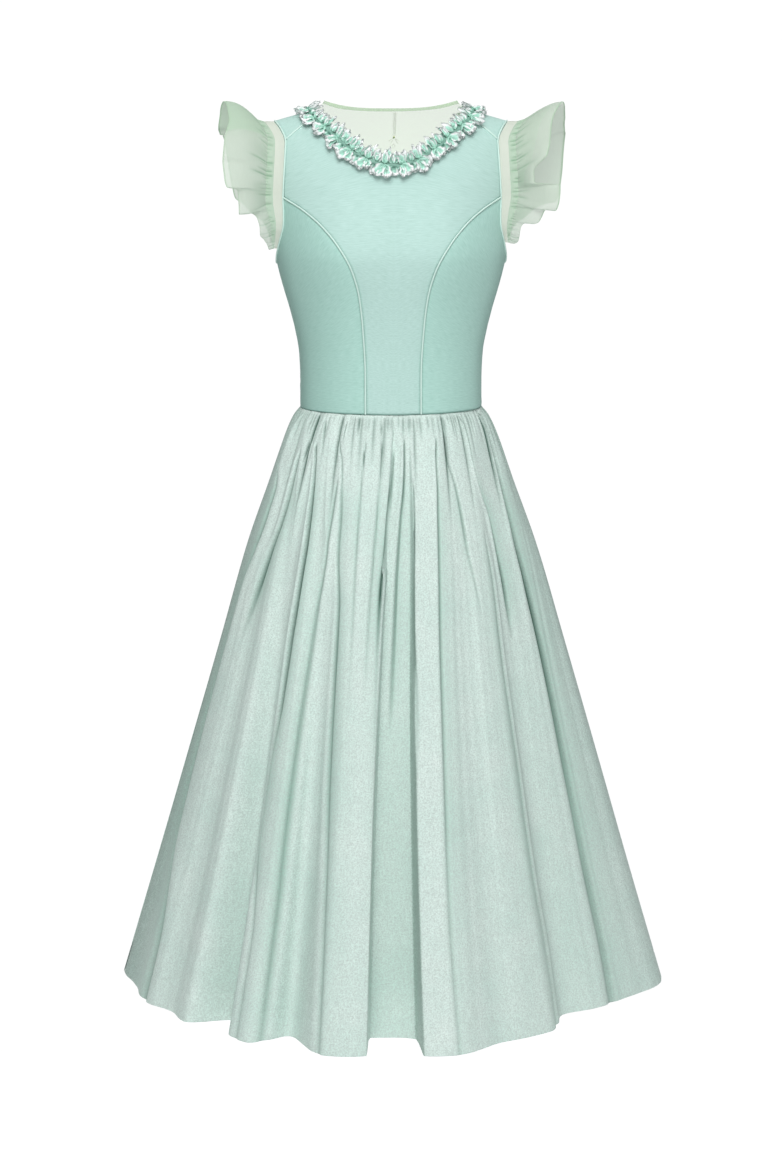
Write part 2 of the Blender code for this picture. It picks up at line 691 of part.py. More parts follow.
def shortened(points, start, end):
    """A line with a length taken off its two ends."""
    points = points.copy()
    for i, j, by in ((0, 1, start), (-1, -2, end)):
        inwards = points[j] - points[i]
        points[i] += by * inwards / np.linalg.norm(inwards)
    return points


def armhole_loop(onto=0.0, lift=0.0):
    """The armhole's edge on the wearer's left: from the side seam up the front, over and down the back."""
    lower_front, lower_back = lower_armhole(True), lower_armhole(False)
    upper_front = spread(laid(FRONT_ARMHOLE, True), CHEST_STATIONS)
    strap = strap_outer_edge()
    points = [form_at(*lower_front[::-1].T), form(*upper_front[1:].T), form(*strap[-2::-1].T)]
    normals = [
        form_normals_at(*lower_front[::-1].T),
        form_normals(*upper_front[1:].T),
        form_normals(*strap[-2::-1].T),
    ]
    points.append(form_at(*lower_back[1:-1].T))
    normals.append(form_normals_at(*lower_back[1:-1].T))
    points, normals = np.concatenate(points), np.concatenate(normals)
    towards = np.cross(normals, np.gradient(points, axis=0))
    towards /= np.linalg.norm(towards, axis=1, keepdims=True)
    return points + onto * towards + lift * normals


def make_piping():
    for side, hand in ((1, "left"), (-1, "right")):
        front = lifted(front_princess_line(), side)
        back = lifted(back_princess_line(), side)
        pipe(f"piping_princess_front_{hand}", shortened(front, PIPING_WAIST_GAP, PIPING_END_GAP))
        pipe(f"piping_princess_back_{hand}", shortened(back, PIPING_WAIST_GAP, PIPING_END_GAP))
        ends = laid(FORWARD_SEAM, True)
        ends[0] += (ends[1] - ends[0]) * SHOULDER_PIPING_FROM
        pipe(f"piping_shoulder_{hand}", shortened(lifted(spread(ends, 4), side), 0.0, PIPING_END_GAP))
        loop = armhole_loop(ARMHOLE_PIPING_IN, PIPING_RADIUS + PIPING_LIFT)
        pipe(f"piping_armhole_{hand}", flipped(loop, side))


# Sleeves


def sleeve_line(side, share):
    """Stations round the armhole, with the way out along the arm and the way away from the arm."""
    loop = spread(armhole_loop(-SLEEVE_START), 801)
    length = np.concatenate([[0], np.cumsum(np.linalg.norm(np.diff(loop, axis=0), axis=1))])
    at = SLEEVE_SPAN[0] + (SLEEVE_SPAN[1] - SLEEVE_SPAN[0]) * share
    line = np.stack([np.interp(at, length, loop[:, k]) for k in range(3)], axis=1)
    away = line - np.array([0, ARM_CENTRE_Y, ARM_CENTRE_Z])
    away[:, 0] = 0
    away /= np.linalg.norm(away, axis=1, keepdims=True)
    return flipped(line, side), flipped(away, side), np.array([side, 0, 0])


def sleeve_grid(side, reaches):
    """Grid rows at reaches from 0, the armhole, through the casing's edges, 1 and 2, to the hem, 3."""
    rows, tucks = (FRILL_LEFT, TUCKS_LEFT) if side > 0 else (FRILL_RIGHT, TUCKS_RIGHT)
    share, width, flare = (np.array([getattr(r, column) for r in rows]) for column in Frill._fields)
    line, away, out = sleeve_line(side, share)
    step = np.zeros(len(share))
    full = np.clip(width / FULL_WIDTH, 0, 1)
    for tuck in tucks:
        off = (share - tuck.share) / TUCK_REACH
        step += tuck.step * np.tanh(off * 1.6) * np.exp(-np.abs(off) / 2.2) * full
    inside = np.minimum(share - share[0], share[-1] - share)
    narrow = np.clip(SLEEVE_END_WIDTH + (1 - SLEEVE_END_WIDTH) * inside / SLEEVE_TAPER, 0, 1)
    grid = []
    for reach in reaches:
        band = np.clip(reach, 0, 1) * BAND_WIDTH * narrow
        casing = np.clip(reach - 1, 0, 1) * CASING_WIDTH * narrow
        frill = np.clip(reach - 2, 0, 1)
        risen = 1 - (1 - frill) ** FRILL_ROUNDNESS[side]
        along = band + casing + frill * width * np.cos(flare)
        apart = CASING_RISE * casing + risen * width * np.sin(flare) + step * frill
        grid.append(line + along[:, None] * out + apart[:, None] * away)
    return np.array(grid)


def grid_normals(grid):
    along = np.gradient(grid, axis=1)
    up = np.gradient(grid, axis=0)
    normal = np.cross(along, up)
    return normal / np.linalg.norm(normal, axis=-1, keepdims=True)


def make_sleeve(side):
    hand = "left" if side > 0 else "right"
    pieces = (
        ("sleeve_band", (0.0, 1.0), "organza"),
        ("sleeve_casing", (1.0, 2.0), "organza_casing"),
        ("sleeve_frill", FRILL_ROWS, "organza"),
    )
    seam_normals = None
    for name, reaches, finish in pieces:
        grid = sleeve_grid(side, reaches)
        normals = grid_normals(grid) * side
        if seam_normals is not None:
            normals[0] = seam_normals
        seam_normals = normals[-1]
        grid = drawn_in(grid, ("bottom", "top") if name == "sleeve_casing" else (), SLEEVE_GAP)
        wall(f"{name}_{hand}", grid, normals, SHEER_WALL, finish)


# Skirt


def fold_table(value):
    """One value of the folds against the hem angle, once round and a little more."""
    hem = [f.hem for f in FOLDS]
    got = [getattr(f, value) for f in FOLDS]
    turn = 360 if value == "waist" else 0
    hem = [hem[-2] - 360, hem[-1] - 360, *hem, hem[0] + 360, hem[1] + 360]
    got = [got[-2] - turn, got[-1] - turn, *got, got[0] + turn, got[1] + turn]
    return np.array(hem, float), np.array(got, float)


def skirt(hem_angle, share):
    """Points of the skirt from the hem angle of their fold and their share of the skirt's length."""
    hem_angle, share = np.broadcast_arrays(np.asarray(hem_angle, float), np.asarray(share, float))
    waist_angle = pchip(*fold_table("waist"), hem_angle)
    depth = pchip(*fold_table("depth"), hem_angle)
    start = pchip(*fold_table("start"), hem_angle)
    angle = np.radians(hem_angle + (waist_angle - hem_angle) * (1 - share) ** GATHER_PULL)
    grown = np.clip((share - start) / (1 - start), 0, 1) ** FOLD_GROWTH
    inwards = depth * (FOLD_AT_WAIST + (1 - FOLD_AT_WAIST) * grown)
    half = smooth(SKIRT, "share", "half_width", share)
    front = smooth(SKIRT, "share", "front", share)
    back = smooth(SKIRT, "share", "back", share)
    facing_front = np.cos(angle) > 0
    ring = np.stack([half * np.sin(angle), -np.where(facing_front, front, back) * np.cos(angle)], axis=-1)
    out = ring / np.linalg.norm(ring, axis=-1, keepdims=True)
    ring = ring - out * inwards[..., None]
    top = WAIST_Z - WAIST_GAP
    return np.concatenate([ring, (top + (HEM_Z - top) * share)[..., None]], axis=-1)


def skirt_columns(first, last):
    """Hem angles between two seams, with a few in each fold."""
    hem, _ = fold_table("depth")
    angles = np.concatenate(
        [
            np.linspace(a, b, max(2, round((b - a) / COLUMN_DEGREES)), endpoint=False)
            for a, b in zip(hem, hem[1:])
        ]
    )
    inside = angles[(angles > first + 1) & (angles < last - 1)]
    return np.concatenate([[first], inside, [last]])


def make_skirt():
    share = np.array(SKIRT_ROWS)[:, None]
    for name, first, last in (("skirt_front", -90.0, 90.0), ("skirt_back", 90.0, 270.0)):
        angles = skirt_columns(first, last)[None, :]
        grid = skirt(angles, share)
        normals = facing(skirt, *np.broadcast_arrays(angles, share), 0.02, -1e-3)
        grid = drawn_in(grid, ("left", "right"))
        wall(name, grid, normals, SKIRT_WALL, "velvet_mint")


for old in list(bpy.data.objects):
    bpy.data.objects.remove(old, do_unlink=True)
garment = bpy.data.collections.new("dirndl")
bpy.context.scene.collection.children.link(garment)

make_front_center()
for side in (1, -1):
    make_side_panel(True, side)
    make_side_panel(False, side)
    make_back_center(side)
    make_sleeve(side)
make_yoke()
make_ruche()
make_piping()
make_skirt()
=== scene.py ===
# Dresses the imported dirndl: cloth with its gathers, folds and seams, sheer sleeves and yoke, the neck ruche,
# then floor, light and camera. Metres, +Z up, the front faces -Y, the wearer's left is +X.
import math
from collections import namedtuple

import bmesh
import bpy
import numpy as np
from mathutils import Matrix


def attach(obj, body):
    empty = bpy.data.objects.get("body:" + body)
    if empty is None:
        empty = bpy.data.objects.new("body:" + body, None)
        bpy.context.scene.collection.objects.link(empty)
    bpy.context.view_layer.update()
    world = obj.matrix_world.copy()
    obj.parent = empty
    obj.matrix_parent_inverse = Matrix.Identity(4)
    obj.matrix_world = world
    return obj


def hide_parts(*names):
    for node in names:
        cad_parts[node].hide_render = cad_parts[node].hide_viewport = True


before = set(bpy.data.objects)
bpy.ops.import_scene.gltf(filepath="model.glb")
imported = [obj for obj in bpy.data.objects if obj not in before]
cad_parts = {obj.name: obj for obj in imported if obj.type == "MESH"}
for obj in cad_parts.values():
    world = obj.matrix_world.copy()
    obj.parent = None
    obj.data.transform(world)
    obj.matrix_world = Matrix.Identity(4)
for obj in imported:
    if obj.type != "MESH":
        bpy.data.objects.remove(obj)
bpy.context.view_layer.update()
print("frame loaded")


# numbers and curves

def pchip(x, y, at):  # smooth curve through the rows, with no overshoot
    x, y = np.asarray(x, float), np.asarray(y, float)
    step = np.diff(x)
    slope = np.diff(y) / step
    tangent = np.zeros(len(x))
    for i in range(1, len(x) - 1):
        if slope[i - 1] * slope[i] > 0:
            before, after = 2 * step[i] + step[i - 1], step[i] + 2 * step[i - 1]
            tangent[i] = (before + after) / (before / slope[i - 1] + after / slope[i])
    tangent[0], tangent[-1] = slope[0], slope[-1]
    at = np.clip(np.asarray(at, float), x[0], x[-1])
    i = np.clip(np.searchsorted(x, at, side="right") - 1, 0, len(x) - 2)
    t = (at - x[i]) / step[i]
    return (
        (1 + 2 * t) * (1 - t) ** 2 * y[i]
        + t * (1 - t) ** 2 * step[i] * tangent[i]
        + t * t * (3 - 2 * t) * y[i + 1]
        + t * t * (t - 1) * step[i] * tangent[i + 1]
    )


def readTable(rows, over, value, at):
    rows = sorted(rows, key=lambda row: getattr(row, over))
    return pchip([getattr(r, over) for r in rows], [getattr(r, value) for r in rows], at)


def runOf(points):  # the length along a line, up to each of its points
    return np.concatenate([[0], np.cumsum(np.linalg.norm(np.diff(points, axis=0), axis=1))])


def pointsAt(at, run, points):
    return np.stack([np.interp(at, run, points[:, k]) for k in range(points.shape[1])], axis=-1)


def spread(points, count):  # even stations along the smooth curve through points
    points = np.asarray(points, float)
    run = runOf(points)
    fine = np.linspace(0, run[-1], 40 * len(points))
    curve = np.stack([pchip(run, points[:, k], fine) for k in range(points.shape[1])], axis=1)
    run = runOf(curve)
    return pointsAt(np.linspace(0, run[-1], count), run, curve)


def easeStep(low, high, at):
    t = np.clip((at - low) / (high - low), 0, 1)
    return t * t * (3 - 2 * t)


def unit(vectors):
    return vectors / np.maximum(np.linalg.norm(vectors, axis=-1, keepdims=True), 1e-12)


def softNoise(at, seed, period):  # smooth random wave from -1 to 1 along one coordinate
    at = np.asarray(at, float) / period
    values = np.random.default_rng(seed).uniform(-1, 1, 4096)
    cell = np.floor(at).astype(int)
    t = at - cell
    t = t * t * (3 - 2 * t)
    return values[cell % 4096] * (1 - t) + values[(cell + 1) % 4096] * t


def clothNoise(across, up, seed):  # the same over two coordinates
    values = np.random.default_rng(seed).uniform(-1, 1, (128, 128))
    across, up = np.broadcast_arrays(np.asarray(across, float), np.asarray(up, float))
    column, row = np.floor(across).astype(int), np.floor(up).astype(int)
    t, u = across - column, up - row
    t, u = t * t * (3 - 2 * t), u * u * (3 - 2 * u)
    column, nextColumn, row, nextRow = column % 128, (column + 1) % 128, row % 128, (row + 1) % 128
    low = values[column, row] * (1 - t) + values[nextColumn, row] * t
    high = values[column, nextRow] * (1 - t) + values[nextColumn, nextRow] * t
    return low * (1 - u) + high * u


def facing(surface, first, second, firstStep, secondStep):  # a surface's normals, from its two coordinates
    alongFirst = surface(first + firstStep, second) - surface(first - firstStep, second)
    alongSecond = surface(first, second + secondStep) - surface(first, second - secondStep)
    return unit(np.cross(alongFirst, alongSecond))


def gridNormals(grid):
    return unit(np.cross(np.gradient(grid, axis=1), np.gradient(grid, axis=0)))


# the form of the bodice, as the part's source has it

waistZ = -0.4040
hemZ = -1.2444
underarmZ = -0.2000
frontNeckZ = -0.0520
backNeckZ = -0.1220
chestZ = -0.0750
ridgeX, ridgeZ, ridgeSlope, ridgeRound = 0.1000, 0.0120, 0.29, 0.0300
shoulderRound = 0.1000
strapInnerX, strapOuterX = 0.1050, 0.1625
sideSeamAngle = 92.0
degreeLength = 0.003
bustX, bustZ, bustReach, bustFullness = 0.0760, -0.1850, 0.0560, 0.0110

Section = namedtuple("Section", "height halfWidth front back")  # depths at the middle, front and back
body = (
    Section(0.050, 0.1780, 0.080, 0.082),
    Section(0.000, 0.1780, 0.084, 0.088),
    Section(-0.050, 0.1750, 0.090, 0.096),
    Section(-0.100, 0.1710, 0.100, 0.102),
    Section(-0.150, 0.1660, 0.110, 0.104),
    Section(-0.185, 0.1630, 0.114, 0.103),
    Section(-0.212, 0.1574, 0.111, 0.101),
    Section(-0.240, 0.1499, 0.106, 0.099),
    Section(-0.268, 0.1417, 0.101, 0.097),
    Section(-0.296, 0.1348, 0.097, 0.095),
    Section(-0.324, 0.1301, 0.094, 0.093),
    Section(-0.360, 0.1286, 0.093, 0.092),
    Section(waistZ, 0.1290, 0.095, 0.094),
)
Place = namedtuple("Place", "x z")
frontPrincess = (
    Place(0.0385, waistZ),
    Place(0.0385, -0.350),
    Place(0.0415, -0.290),
    Place(0.0470, -0.240),
    Place(0.0570, -0.204),
    Place(0.0740, -0.173),
    Place(0.0980, -0.144),
    Place(0.1250, -0.122),
    Place(0.1510, -0.107),
)
backPrincess = (
    Place(0.0450, waistZ),
    Place(0.0460, -0.340),
    Place(0.0530, -0.270),
    Place(0.0700, -0.205),
    Place(0.0980, -0.155),
    Place(0.1300, -0.120),
    Place(0.1530, -0.103),
)
frontArmhole = (Place(0.1510, -0.107), Place(0.1500, -0.085), Place(0.1485, -0.060), Place(0.1470, -0.0305))
backArmhole = (Place(0.1530, -0.103), Place(0.1535, -0.080), Place(0.1560, -0.050), Place(0.1590, -0.025))
frontNeck = (
    Place(0.0000, frontNeckZ),
    Place(0.0170, -0.0495),
    Place(0.0340, -0.0425),
    Place(0.0520, -0.0320),
    Place(0.0690, -0.0180),
    Place(0.0870, -0.0045),
    Place(0.0990, 0.0040),
)
backNeck = (
    Place(0.0000, backNeckZ),
    Place(0.0280, -0.1170),
    Place(0.0540, -0.1010),
    Place(0.0750, -0.0740),
    Place(0.0890, -0.0420),
    Place(0.0980, -0.0120),
)
forwardSeam = (Place(0.1010, 0.0045), Place(0.1470, -0.0305))
Turn = namedtuple("Turn", "angle z")
lowerArmholeFront = (
    Turn(64.5, -0.142),
    Turn(70.0, -0.164),
    Turn(78.0, -0.184),
    Turn(86.0, -0.1965),
    Turn(sideSeamAngle, underarmZ),
)
lowerArmholeBack = (
    Turn(116.0, -0.130),
    Turn(112.0, -0.157),
    Turn(106.0, -0.181),
    Turn(99.0, -0.1955),
    Turn(sideSeamAngle, underarmZ),
)


def ridgeHeight(x):
    return ridgeZ - ridgeSlope * (np.hypot(x, ridgeRound) - math.hypot(ridgeX, ridgeRound))


def dropOf(s):  # how far below the shoulder's ridge a point lies that is s over it
    turn = np.minimum(np.abs(s) / shoulderRound, math.pi / 2)
    return shoulderRound * (1 - np.cos(turn)) + np.maximum(np.abs(s) - shoulderRound * math.pi / 2, 0)


def riseOf(drop):
    turned = np.clip(drop, 0, shoulderRound)
    return shoulderRound * np.arccos(1 - turned / shoulderRound) + np.maximum(drop - shoulderRound, 0)


def depthAt(x, z, front):
    half = readTable(body, "height", "halfWidth", z)
    centre = readTable(body, "height", "front" if front else "back", z)
    depth = centre * np.sqrt(np.clip(1 - (x / half) ** 2, 0, 1))
    if front:
        away = ((np.abs(x) - bustX) ** 2 + (z - bustZ) ** 2) / bustReach**2
        depth = depth + bustFullness * np.exp(-away) * np.clip(depth / centre, 0, 1)
    return depth


def form(x, s):
    x, s = np.broadcast_arrays(np.asarray(x, float), np.asarray(s, float))
    z = ridgeHeight(x) - dropOf(s)
    turned = np.sin(np.minimum(np.abs(s) / shoulderRound, math.pi / 2))
    y = np.where(s < 0, -depthAt(x, z, True), depthAt(x, z, False)) * turned
    return np.stack([x, y, z], axis=-1)


def formAt(angle, z):
    angle, z = np.broadcast_arrays(np.radians(angle), np.asarray(z, float))
    half = readTable(body, "height", "halfWidth", z)
    x = half * np.sin(angle)
    turned = np.sin(riseOf(ridgeHeight(x) - z).clip(0, shoulderRound * math.pi / 2) / shoulderRound)
    y = np.where(np.cos(angle) > 0, -depthAt(x, z, True), depthAt(x, z, False)) * turned
    return np.stack([x, y, z], axis=-1)


def formNormals(x, s):
    return facing(form, x, s, 1e-4, 1e-4)


def formNormalsAt(angle, z):
    return facing(formAt, angle, z, 0.05, 1e-4)


def laid(places, front):  # places on the front or the back as pairs of x and rise
    x = np.array([p.x for p in places])
    z = np.array([p.z for p in places])
    rise = riseOf(ridgeHeight(x) - z)
    return np.stack([x, -rise if front else rise], axis=1)


def turnedPlaces(pairs, front):  # pairs of x and rise as pairs of angle and height
    z = ridgeHeight(pairs[:, 0]) - dropOf(pairs[:, 1])
    half = readTable(body, "height", "halfWidth", z)
    angle = np.degrees(np.arcsin(np.clip(pairs[:, 0] / half, -1, 1)))
    return np.stack([angle if front else 180 - angle, z], axis=1)


def strapEdge(behind, ridge, before, count):  # from the back, over the shoulder's ridge, to the forward seam
    return spread(np.concatenate([laid(behind, False), [[ridge, 0.0]], laid(before, True)]), count)


def strapOuterEdge(count):
    return strapEdge(backArmhole, strapOuterX, forwardSeam[1:], count)


def strapInnerEdge(count):
    return strapEdge(backNeck, strapInnerX, forwardSeam[:1], count)


def lowerArmhole(front, count):
    top = laid((frontPrincess if front else backPrincess)[-1:], front)
    turns = lowerArmholeFront if front else lowerArmholeBack
    line = np.concatenate([turnedPlaces(top, front), [tuple(t) for t in turns]])
    return spread(line * [degreeLength, 1], count) / [degreeLength, 1]


def flipped(points, side):
    return points * np.array([side, 1, 1])


def patch(bottom, top, left, right):  # a grid between four edges that meet at its corners
    across = np.linspace(0, 1, len(bottom))[None, :, None]
    up = np.linspace(0, 1, len(left))[:, None, None]
    return (
        (1 - up) * bottom[None]
        + up * top[None]
        + (1 - across) * left[:, None]
        + across * right[:, None]
        - (1 - up) * (1 - across) * bottom[0]
        - (1 - up) * across * bottom[-1]
        - up * (1 - across) * top[0]
        - up * across * top[-1]
    )


# meshes

weldDistance = 0.00002


def clothMesh(name, grids, material, masks=None, flips=(False,), thickness=0.0, weld=False):
    points, faces, coordinates, offset = [], [], [], 0
    for grid, flip in zip(grids, flips):
        rows, columns = grid.shape[:2]
        index = offset + np.arange(rows * columns).reshape(rows, columns)
        a, b, c, d = index[:-1, :-1], index[:-1, 1:], index[1:, 1:], index[1:, :-1]
        faces.append(np.stack([a, d, c, b] if flip else [a, b, c, d], axis=-1).reshape(-1, 4))
        points.append(grid.reshape(-1, 3))
        # cloth coordinates in metres, along the weft and the warp
        warp = np.concatenate([[0], np.cumsum(np.linalg.norm(np.diff(grid, axis=0), axis=2).mean(axis=1))])
        weft = runOf(grid[rows // 2])
        coordinates.append(np.stack(np.meshgrid(weft, warp), axis=-1).reshape(-1, 2))
        offset += rows * columns
    points, faces, coordinates = np.concatenate(points), np.concatenate(faces), np.concatenate(coordinates)
    mesh = bpy.data.meshes.new(name)
    mesh.vertices.add(len(points))
    mesh.vertices.foreach_set("co", points.reshape(-1).astype(np.float32))
    mesh.loops.add(faces.size)
    mesh.loops.foreach_set("vertex_index", faces.reshape(-1).astype(np.int32))
    mesh.polygons.add(len(faces))
    mesh.polygons.foreach_set("loop_start", (np.arange(len(faces)) * 4).astype(np.int32))
    mesh.polygons.foreach_set("use_smooth", np.ones(len(faces), bool))
    mesh.update(calc_edges=True)
    layer = mesh.uv_layers.new(name="Cloth")
    layer.data.foreach_set("uv", coordinates[faces.reshape(-1)].reshape(-1).astype(np.float32))
    for maskName, values in (masks or {}).items():
        attribute = mesh.attributes.new(maskName, "FLOAT", "POINT")
        attribute.data.foreach_set("value", np.concatenate([np.ravel(v) for v in values]).astype(np.float32))
    if weld:
        whole = bmesh.new()
        whole.from_mesh(mesh)
        bmesh.ops.remove_doubles(whole, verts=whole.verts, dist=weldDistance)
        whole.to_mesh(mesh)
        whole.free()
    mesh.materials.append(material)
    piece = bpy.data.objects.new(name, mesh)
    bpy.context.scene.collection.objects.link(piece)
    if thickness:
        solid = piece.modifiers.new("Thickness", "SOLIDIFY")
        solid.thickness = thickness
        solid.offset = -1.0
    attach(piece, "root")
    return piece


def threadCurve(name, lines, radius, material, resolution=2):  # round cords or threads, one along each line
    curve = bpy.data.curves.new(name, "CURVE")
    curve.dimensions = "3D"
    curve.bevel_depth = radius
    curve.bevel_resolution = resolution
    curve.use_fill_caps = True
    for points in lines:
        line = curve.splines.new("POLY")
        line.points.add(len(points) - 1)
        line.points.foreach_set("co", np.concatenate([points, np.ones((len(points), 1))], axis=1).reshape(-1))
    curve.materials.append(material)
    piece = bpy.data.objects.new(name, curve)
    bpy.context.scene.collection.objects.link(piece)
    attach(piece, "root")
    return piece


# materials

def newGroup(name, inputs, outputs):
    group = bpy.data.node_groups.new(name, "ShaderNodeTree")
    for socketName, kind, value in inputs:
        socket = group.interface.new_socket(name=socketName, in_out="INPUT", socket_type=kind)
        if value is not None:
            socket.default_value = value
    for socketName, kind in outputs:
        group.interface.new_socket(name=socketName, in_out="OUTPUT", socket_type=kind)
    return group, group.nodes.new("NodeGroupInput"), group.nodes.new("NodeGroupOutput")


def addNode(tree, kind, **settings):
    node = tree.nodes.new(kind)
    for key, value in settings.items():
        if key == "inputs":
            for socket, content in value.items():
                node.inputs[socket].default_value = content
        else:
            setattr(node, key, value)
    return node


def join(tree, source, target):
    tree.links.new(source, target)


def mathNode(tree, operation, first, second=None, clamp=False):
    node = tree.nodes.new("ShaderNodeMath")
    node.operation = operation
    node.use_clamp = clamp
    for socket, content in zip(node.inputs, (first, second)):
        if content is None:
            continue
        if isinstance(content, (int, float)):
            socket.default_value = content
        else:
            join(tree, content, socket)
    return node.outputs[0]


def mixColour(tree, factor, first, second, blend="MIX"):
    node = tree.nodes.new("ShaderNodeMix")
    node.data_type = "RGBA"
    node.blend_type = blend
    for socket, content in zip((node.inputs[0], node.inputs[6], node.inputs[7]), (factor, first, second)):
        if isinstance(content, (int, float)):
            socket.default_value = content
        elif isinstance(content, tuple):
            socket.default_value = (*content, 1.0)
        else:
            join(tree, content, socket)
    return node.outputs[2]


def fromSrgb(red, green, blue):
    return tuple(((c / 255 + 0.055) / 1.055) ** 2.4 if c > 10 else c / 3294.6 for c in (red, green, blue))


def maskOf(tree, name):  # one of the masks that clothMesh writes
    return addNode(tree, "ShaderNodeAttribute", attribute_name=name).outputs["Fac"]


def around(tree, value, middle, gain):  # a noise made to swing round nought
    return mathNode(tree, "MULTIPLY", mathNode(tree, "SUBTRACT", value, middle), gain)


def contrasted(tree, value, middle, gain):  # a noise from 0 to 1, made stronger round its middle
    return mathNode(tree, "ADD", around(tree, value, middle, gain), 0.5, clamp=True)


def makeWeaveGroup():  # plain weave with slubs: a height for the bump and a shade for the colour
    group, given, result = newGroup(
        "Plain Weave",
        [
            ("Threads per Metre", "NodeSocketFloat", 1400.0),
            ("Slub Length", "NodeSocketFloat", 14.0),
            ("Slub Strength", "NodeSocketFloat", 0.5),
        ],
        [("Height", "NodeSocketFloat"), ("Shade", "NodeSocketFloat")],
    )
    cloth = addNode(group, "ShaderNodeUVMap", uv_map="Cloth")
    apart = addNode(group, "ShaderNodeSeparateXYZ")
    join(group, cloth.outputs[0], apart.inputs[0])
    waves = []
    for axis in (0, 1):
        turn = mathNode(group, "MULTIPLY", apart.outputs[axis], given.outputs["Threads per Metre"])
        waves.append(mathNode(group, "SINE", mathNode(group, "MULTIPLY", turn, math.pi)))
    checker = mathNode(group, "ABSOLUTE", mathNode(group, "MULTIPLY", *waves))
    stretch = addNode(group, "ShaderNodeCombineXYZ")
    for axis, rate in ((0, given.outputs["Slub Length"]), (1, 150.0)):
        join(group, mathNode(group, "MULTIPLY", apart.outputs[axis], rate), stretch.inputs[axis])
    slubs = addNode(group, "ShaderNodeTexNoise", inputs={"Scale": 6.0, "Detail": 3.0, "Roughness": 0.6})
    join(group, stretch.outputs[0], slubs.inputs["Vector"])
    slub = mathNode(group, "MULTIPLY", slubs.outputs[0], given.outputs["Slub Strength"])
    height = mathNode(group, "ADD", mathNode(group, "MULTIPLY", checker, 0.35), slub)
    join(group, height, result.inputs["Height"])
    join(group, slubs.outputs[0], result.inputs["Shade"])
    return group


def makeNapGroup():  # velvet nap: fine speckle, streaks along the warp and soft blotches where it was stroked
    group, given, result = newGroup(
        "Velvet Nap",
        [("Speckle Scale", "NodeSocketFloat", 520.0), ("Streaks", "NodeSocketFloat", 0.2)],
        [("Height", "NodeSocketFloat"), ("Speckle", "NodeSocketFloat"), ("Blotch", "NodeSocketFloat")],
    )
    place = addNode(group, "ShaderNodeTexCoord")
    cloth = addNode(group, "ShaderNodeUVMap", uv_map="Cloth")
    speckle = addNode(group, "ShaderNodeTexNoise", inputs={"Detail": 2.0, "Roughness": 0.7})
    join(group, place.outputs["Object"], speckle.inputs["Vector"])
    join(group, given.outputs["Speckle Scale"], speckle.inputs["Scale"])
    squeeze = addNode(group, "ShaderNodeMapping", inputs={"Scale": (420.0, 60.0, 1.0)})
    join(group, cloth.outputs[0], squeeze.inputs["Vector"])
    streaks = addNode(group, "ShaderNodeTexNoise", inputs={"Scale": 1.0, "Detail": 3.0, "Roughness": 0.65})
    join(group, squeeze.outputs[0], streaks.inputs["Vector"])
    blotch = addNode(group, "ShaderNodeTexNoise", inputs={"Scale": 14.0, "Detail": 4.0, "Roughness": 0.6})
    join(group, place.outputs["Object"], blotch.inputs["Vector"])
    streak = mathNode(group, "MULTIPLY", streaks.outputs[0], given.outputs["Streaks"])
    mixed = mathNode(group, "ADD", mathNode(group, "MULTIPLY", speckle.outputs[0], 0.7), streak)
    join(group, mixed, result.inputs["Height"])
    join(group, mixed, result.inputs["Speckle"])
    join(group, blotch.outputs[0], result.inputs["Blotch"])
    return group


weaveGroup = makeWeaveGroup()
napGroup = makeNapGroup()


def startMaterial(name, roughness, sheen=0.0, sheenTint=(1, 1, 1)):
    material = bpy.data.materials.new(name)
    material.use_nodes = True
    tree = material.node_tree
    shader = tree.nodes["Principled BSDF"]
    shader.inputs["Roughness"].default_value = roughness
    shader.inputs["Specular IOR Level"].default_value = 0.25
    shader.inputs["Sheen Weight"].default_value = sheen
    shader.inputs["Sheen Roughness"].default_value = 0.45
    shader.inputs["Sheen Tint"].default_value = (*sheenTint, 1)
    return material, tree, shader


def addBump(tree, shader, height, strength, distance):
    bump = addNode(tree, "ShaderNodeBump", inputs={"Strength": strength, "Distance": distance})
    join(tree, height, bump.inputs["Height"])
    join(tree, bump.outputs[0], shader.inputs["Normal"])


def clothMaterial(name, look):
    material, tree, shader = startMaterial(name, look["roughness"], look["sheen"], look["sheenTint"])
    weave = addNode(tree, "ShaderNodeGroup", node_tree=weaveGroup)
    weave.inputs["Threads per Metre"].default_value = look["threadsPerMetre"]
    weave.inputs["Slub Strength"].default_value = look["slubs"]
    shade = contrasted(tree, weave.outputs["Shade"], 0.5, look["contrast"])
    colour = mixColour(tree, shade, look["shadow"], look["light"])
    # painted shade: the crease mask darkens the cloth in the waist seam, beside the pipings and towards the
    # side seams
    colour = mixColour(tree, maskOf(tree, "crease"), colour, look["crease"])
    join(tree, colour, shader.inputs["Base Color"])
    addBump(tree, shader, weave.outputs["Height"], look["bump"], look["bumpDepth"])
    return material


bodiceLook = {
    "light": fromSrgb(194, 224, 217),
    "shadow": fromSrgb(176, 210, 201),
    # the colour of the painted shade in the seams and towards the side seams
    "crease": fromSrgb(104, 150, 138),
    "roughness": 0.72,
    "sheen": 0.25,
    "sheenTint": (0.85, 1.0, 0.96),
    "threadsPerMetre": 1500.0,
    "slubs": 0.6,
    "contrast": 3.0,
    "bump": 0.35,
    "bumpDepth": 0.0006,
}
bodiceCloth = clothMaterial("BodiceCloth", bodiceLook)
sideLook = dict(bodiceLook, light=fromSrgb(184, 221, 211), shadow=fromSrgb(167, 208, 197))
sideCloth = clothMaterial("SideCloth", sideLook)

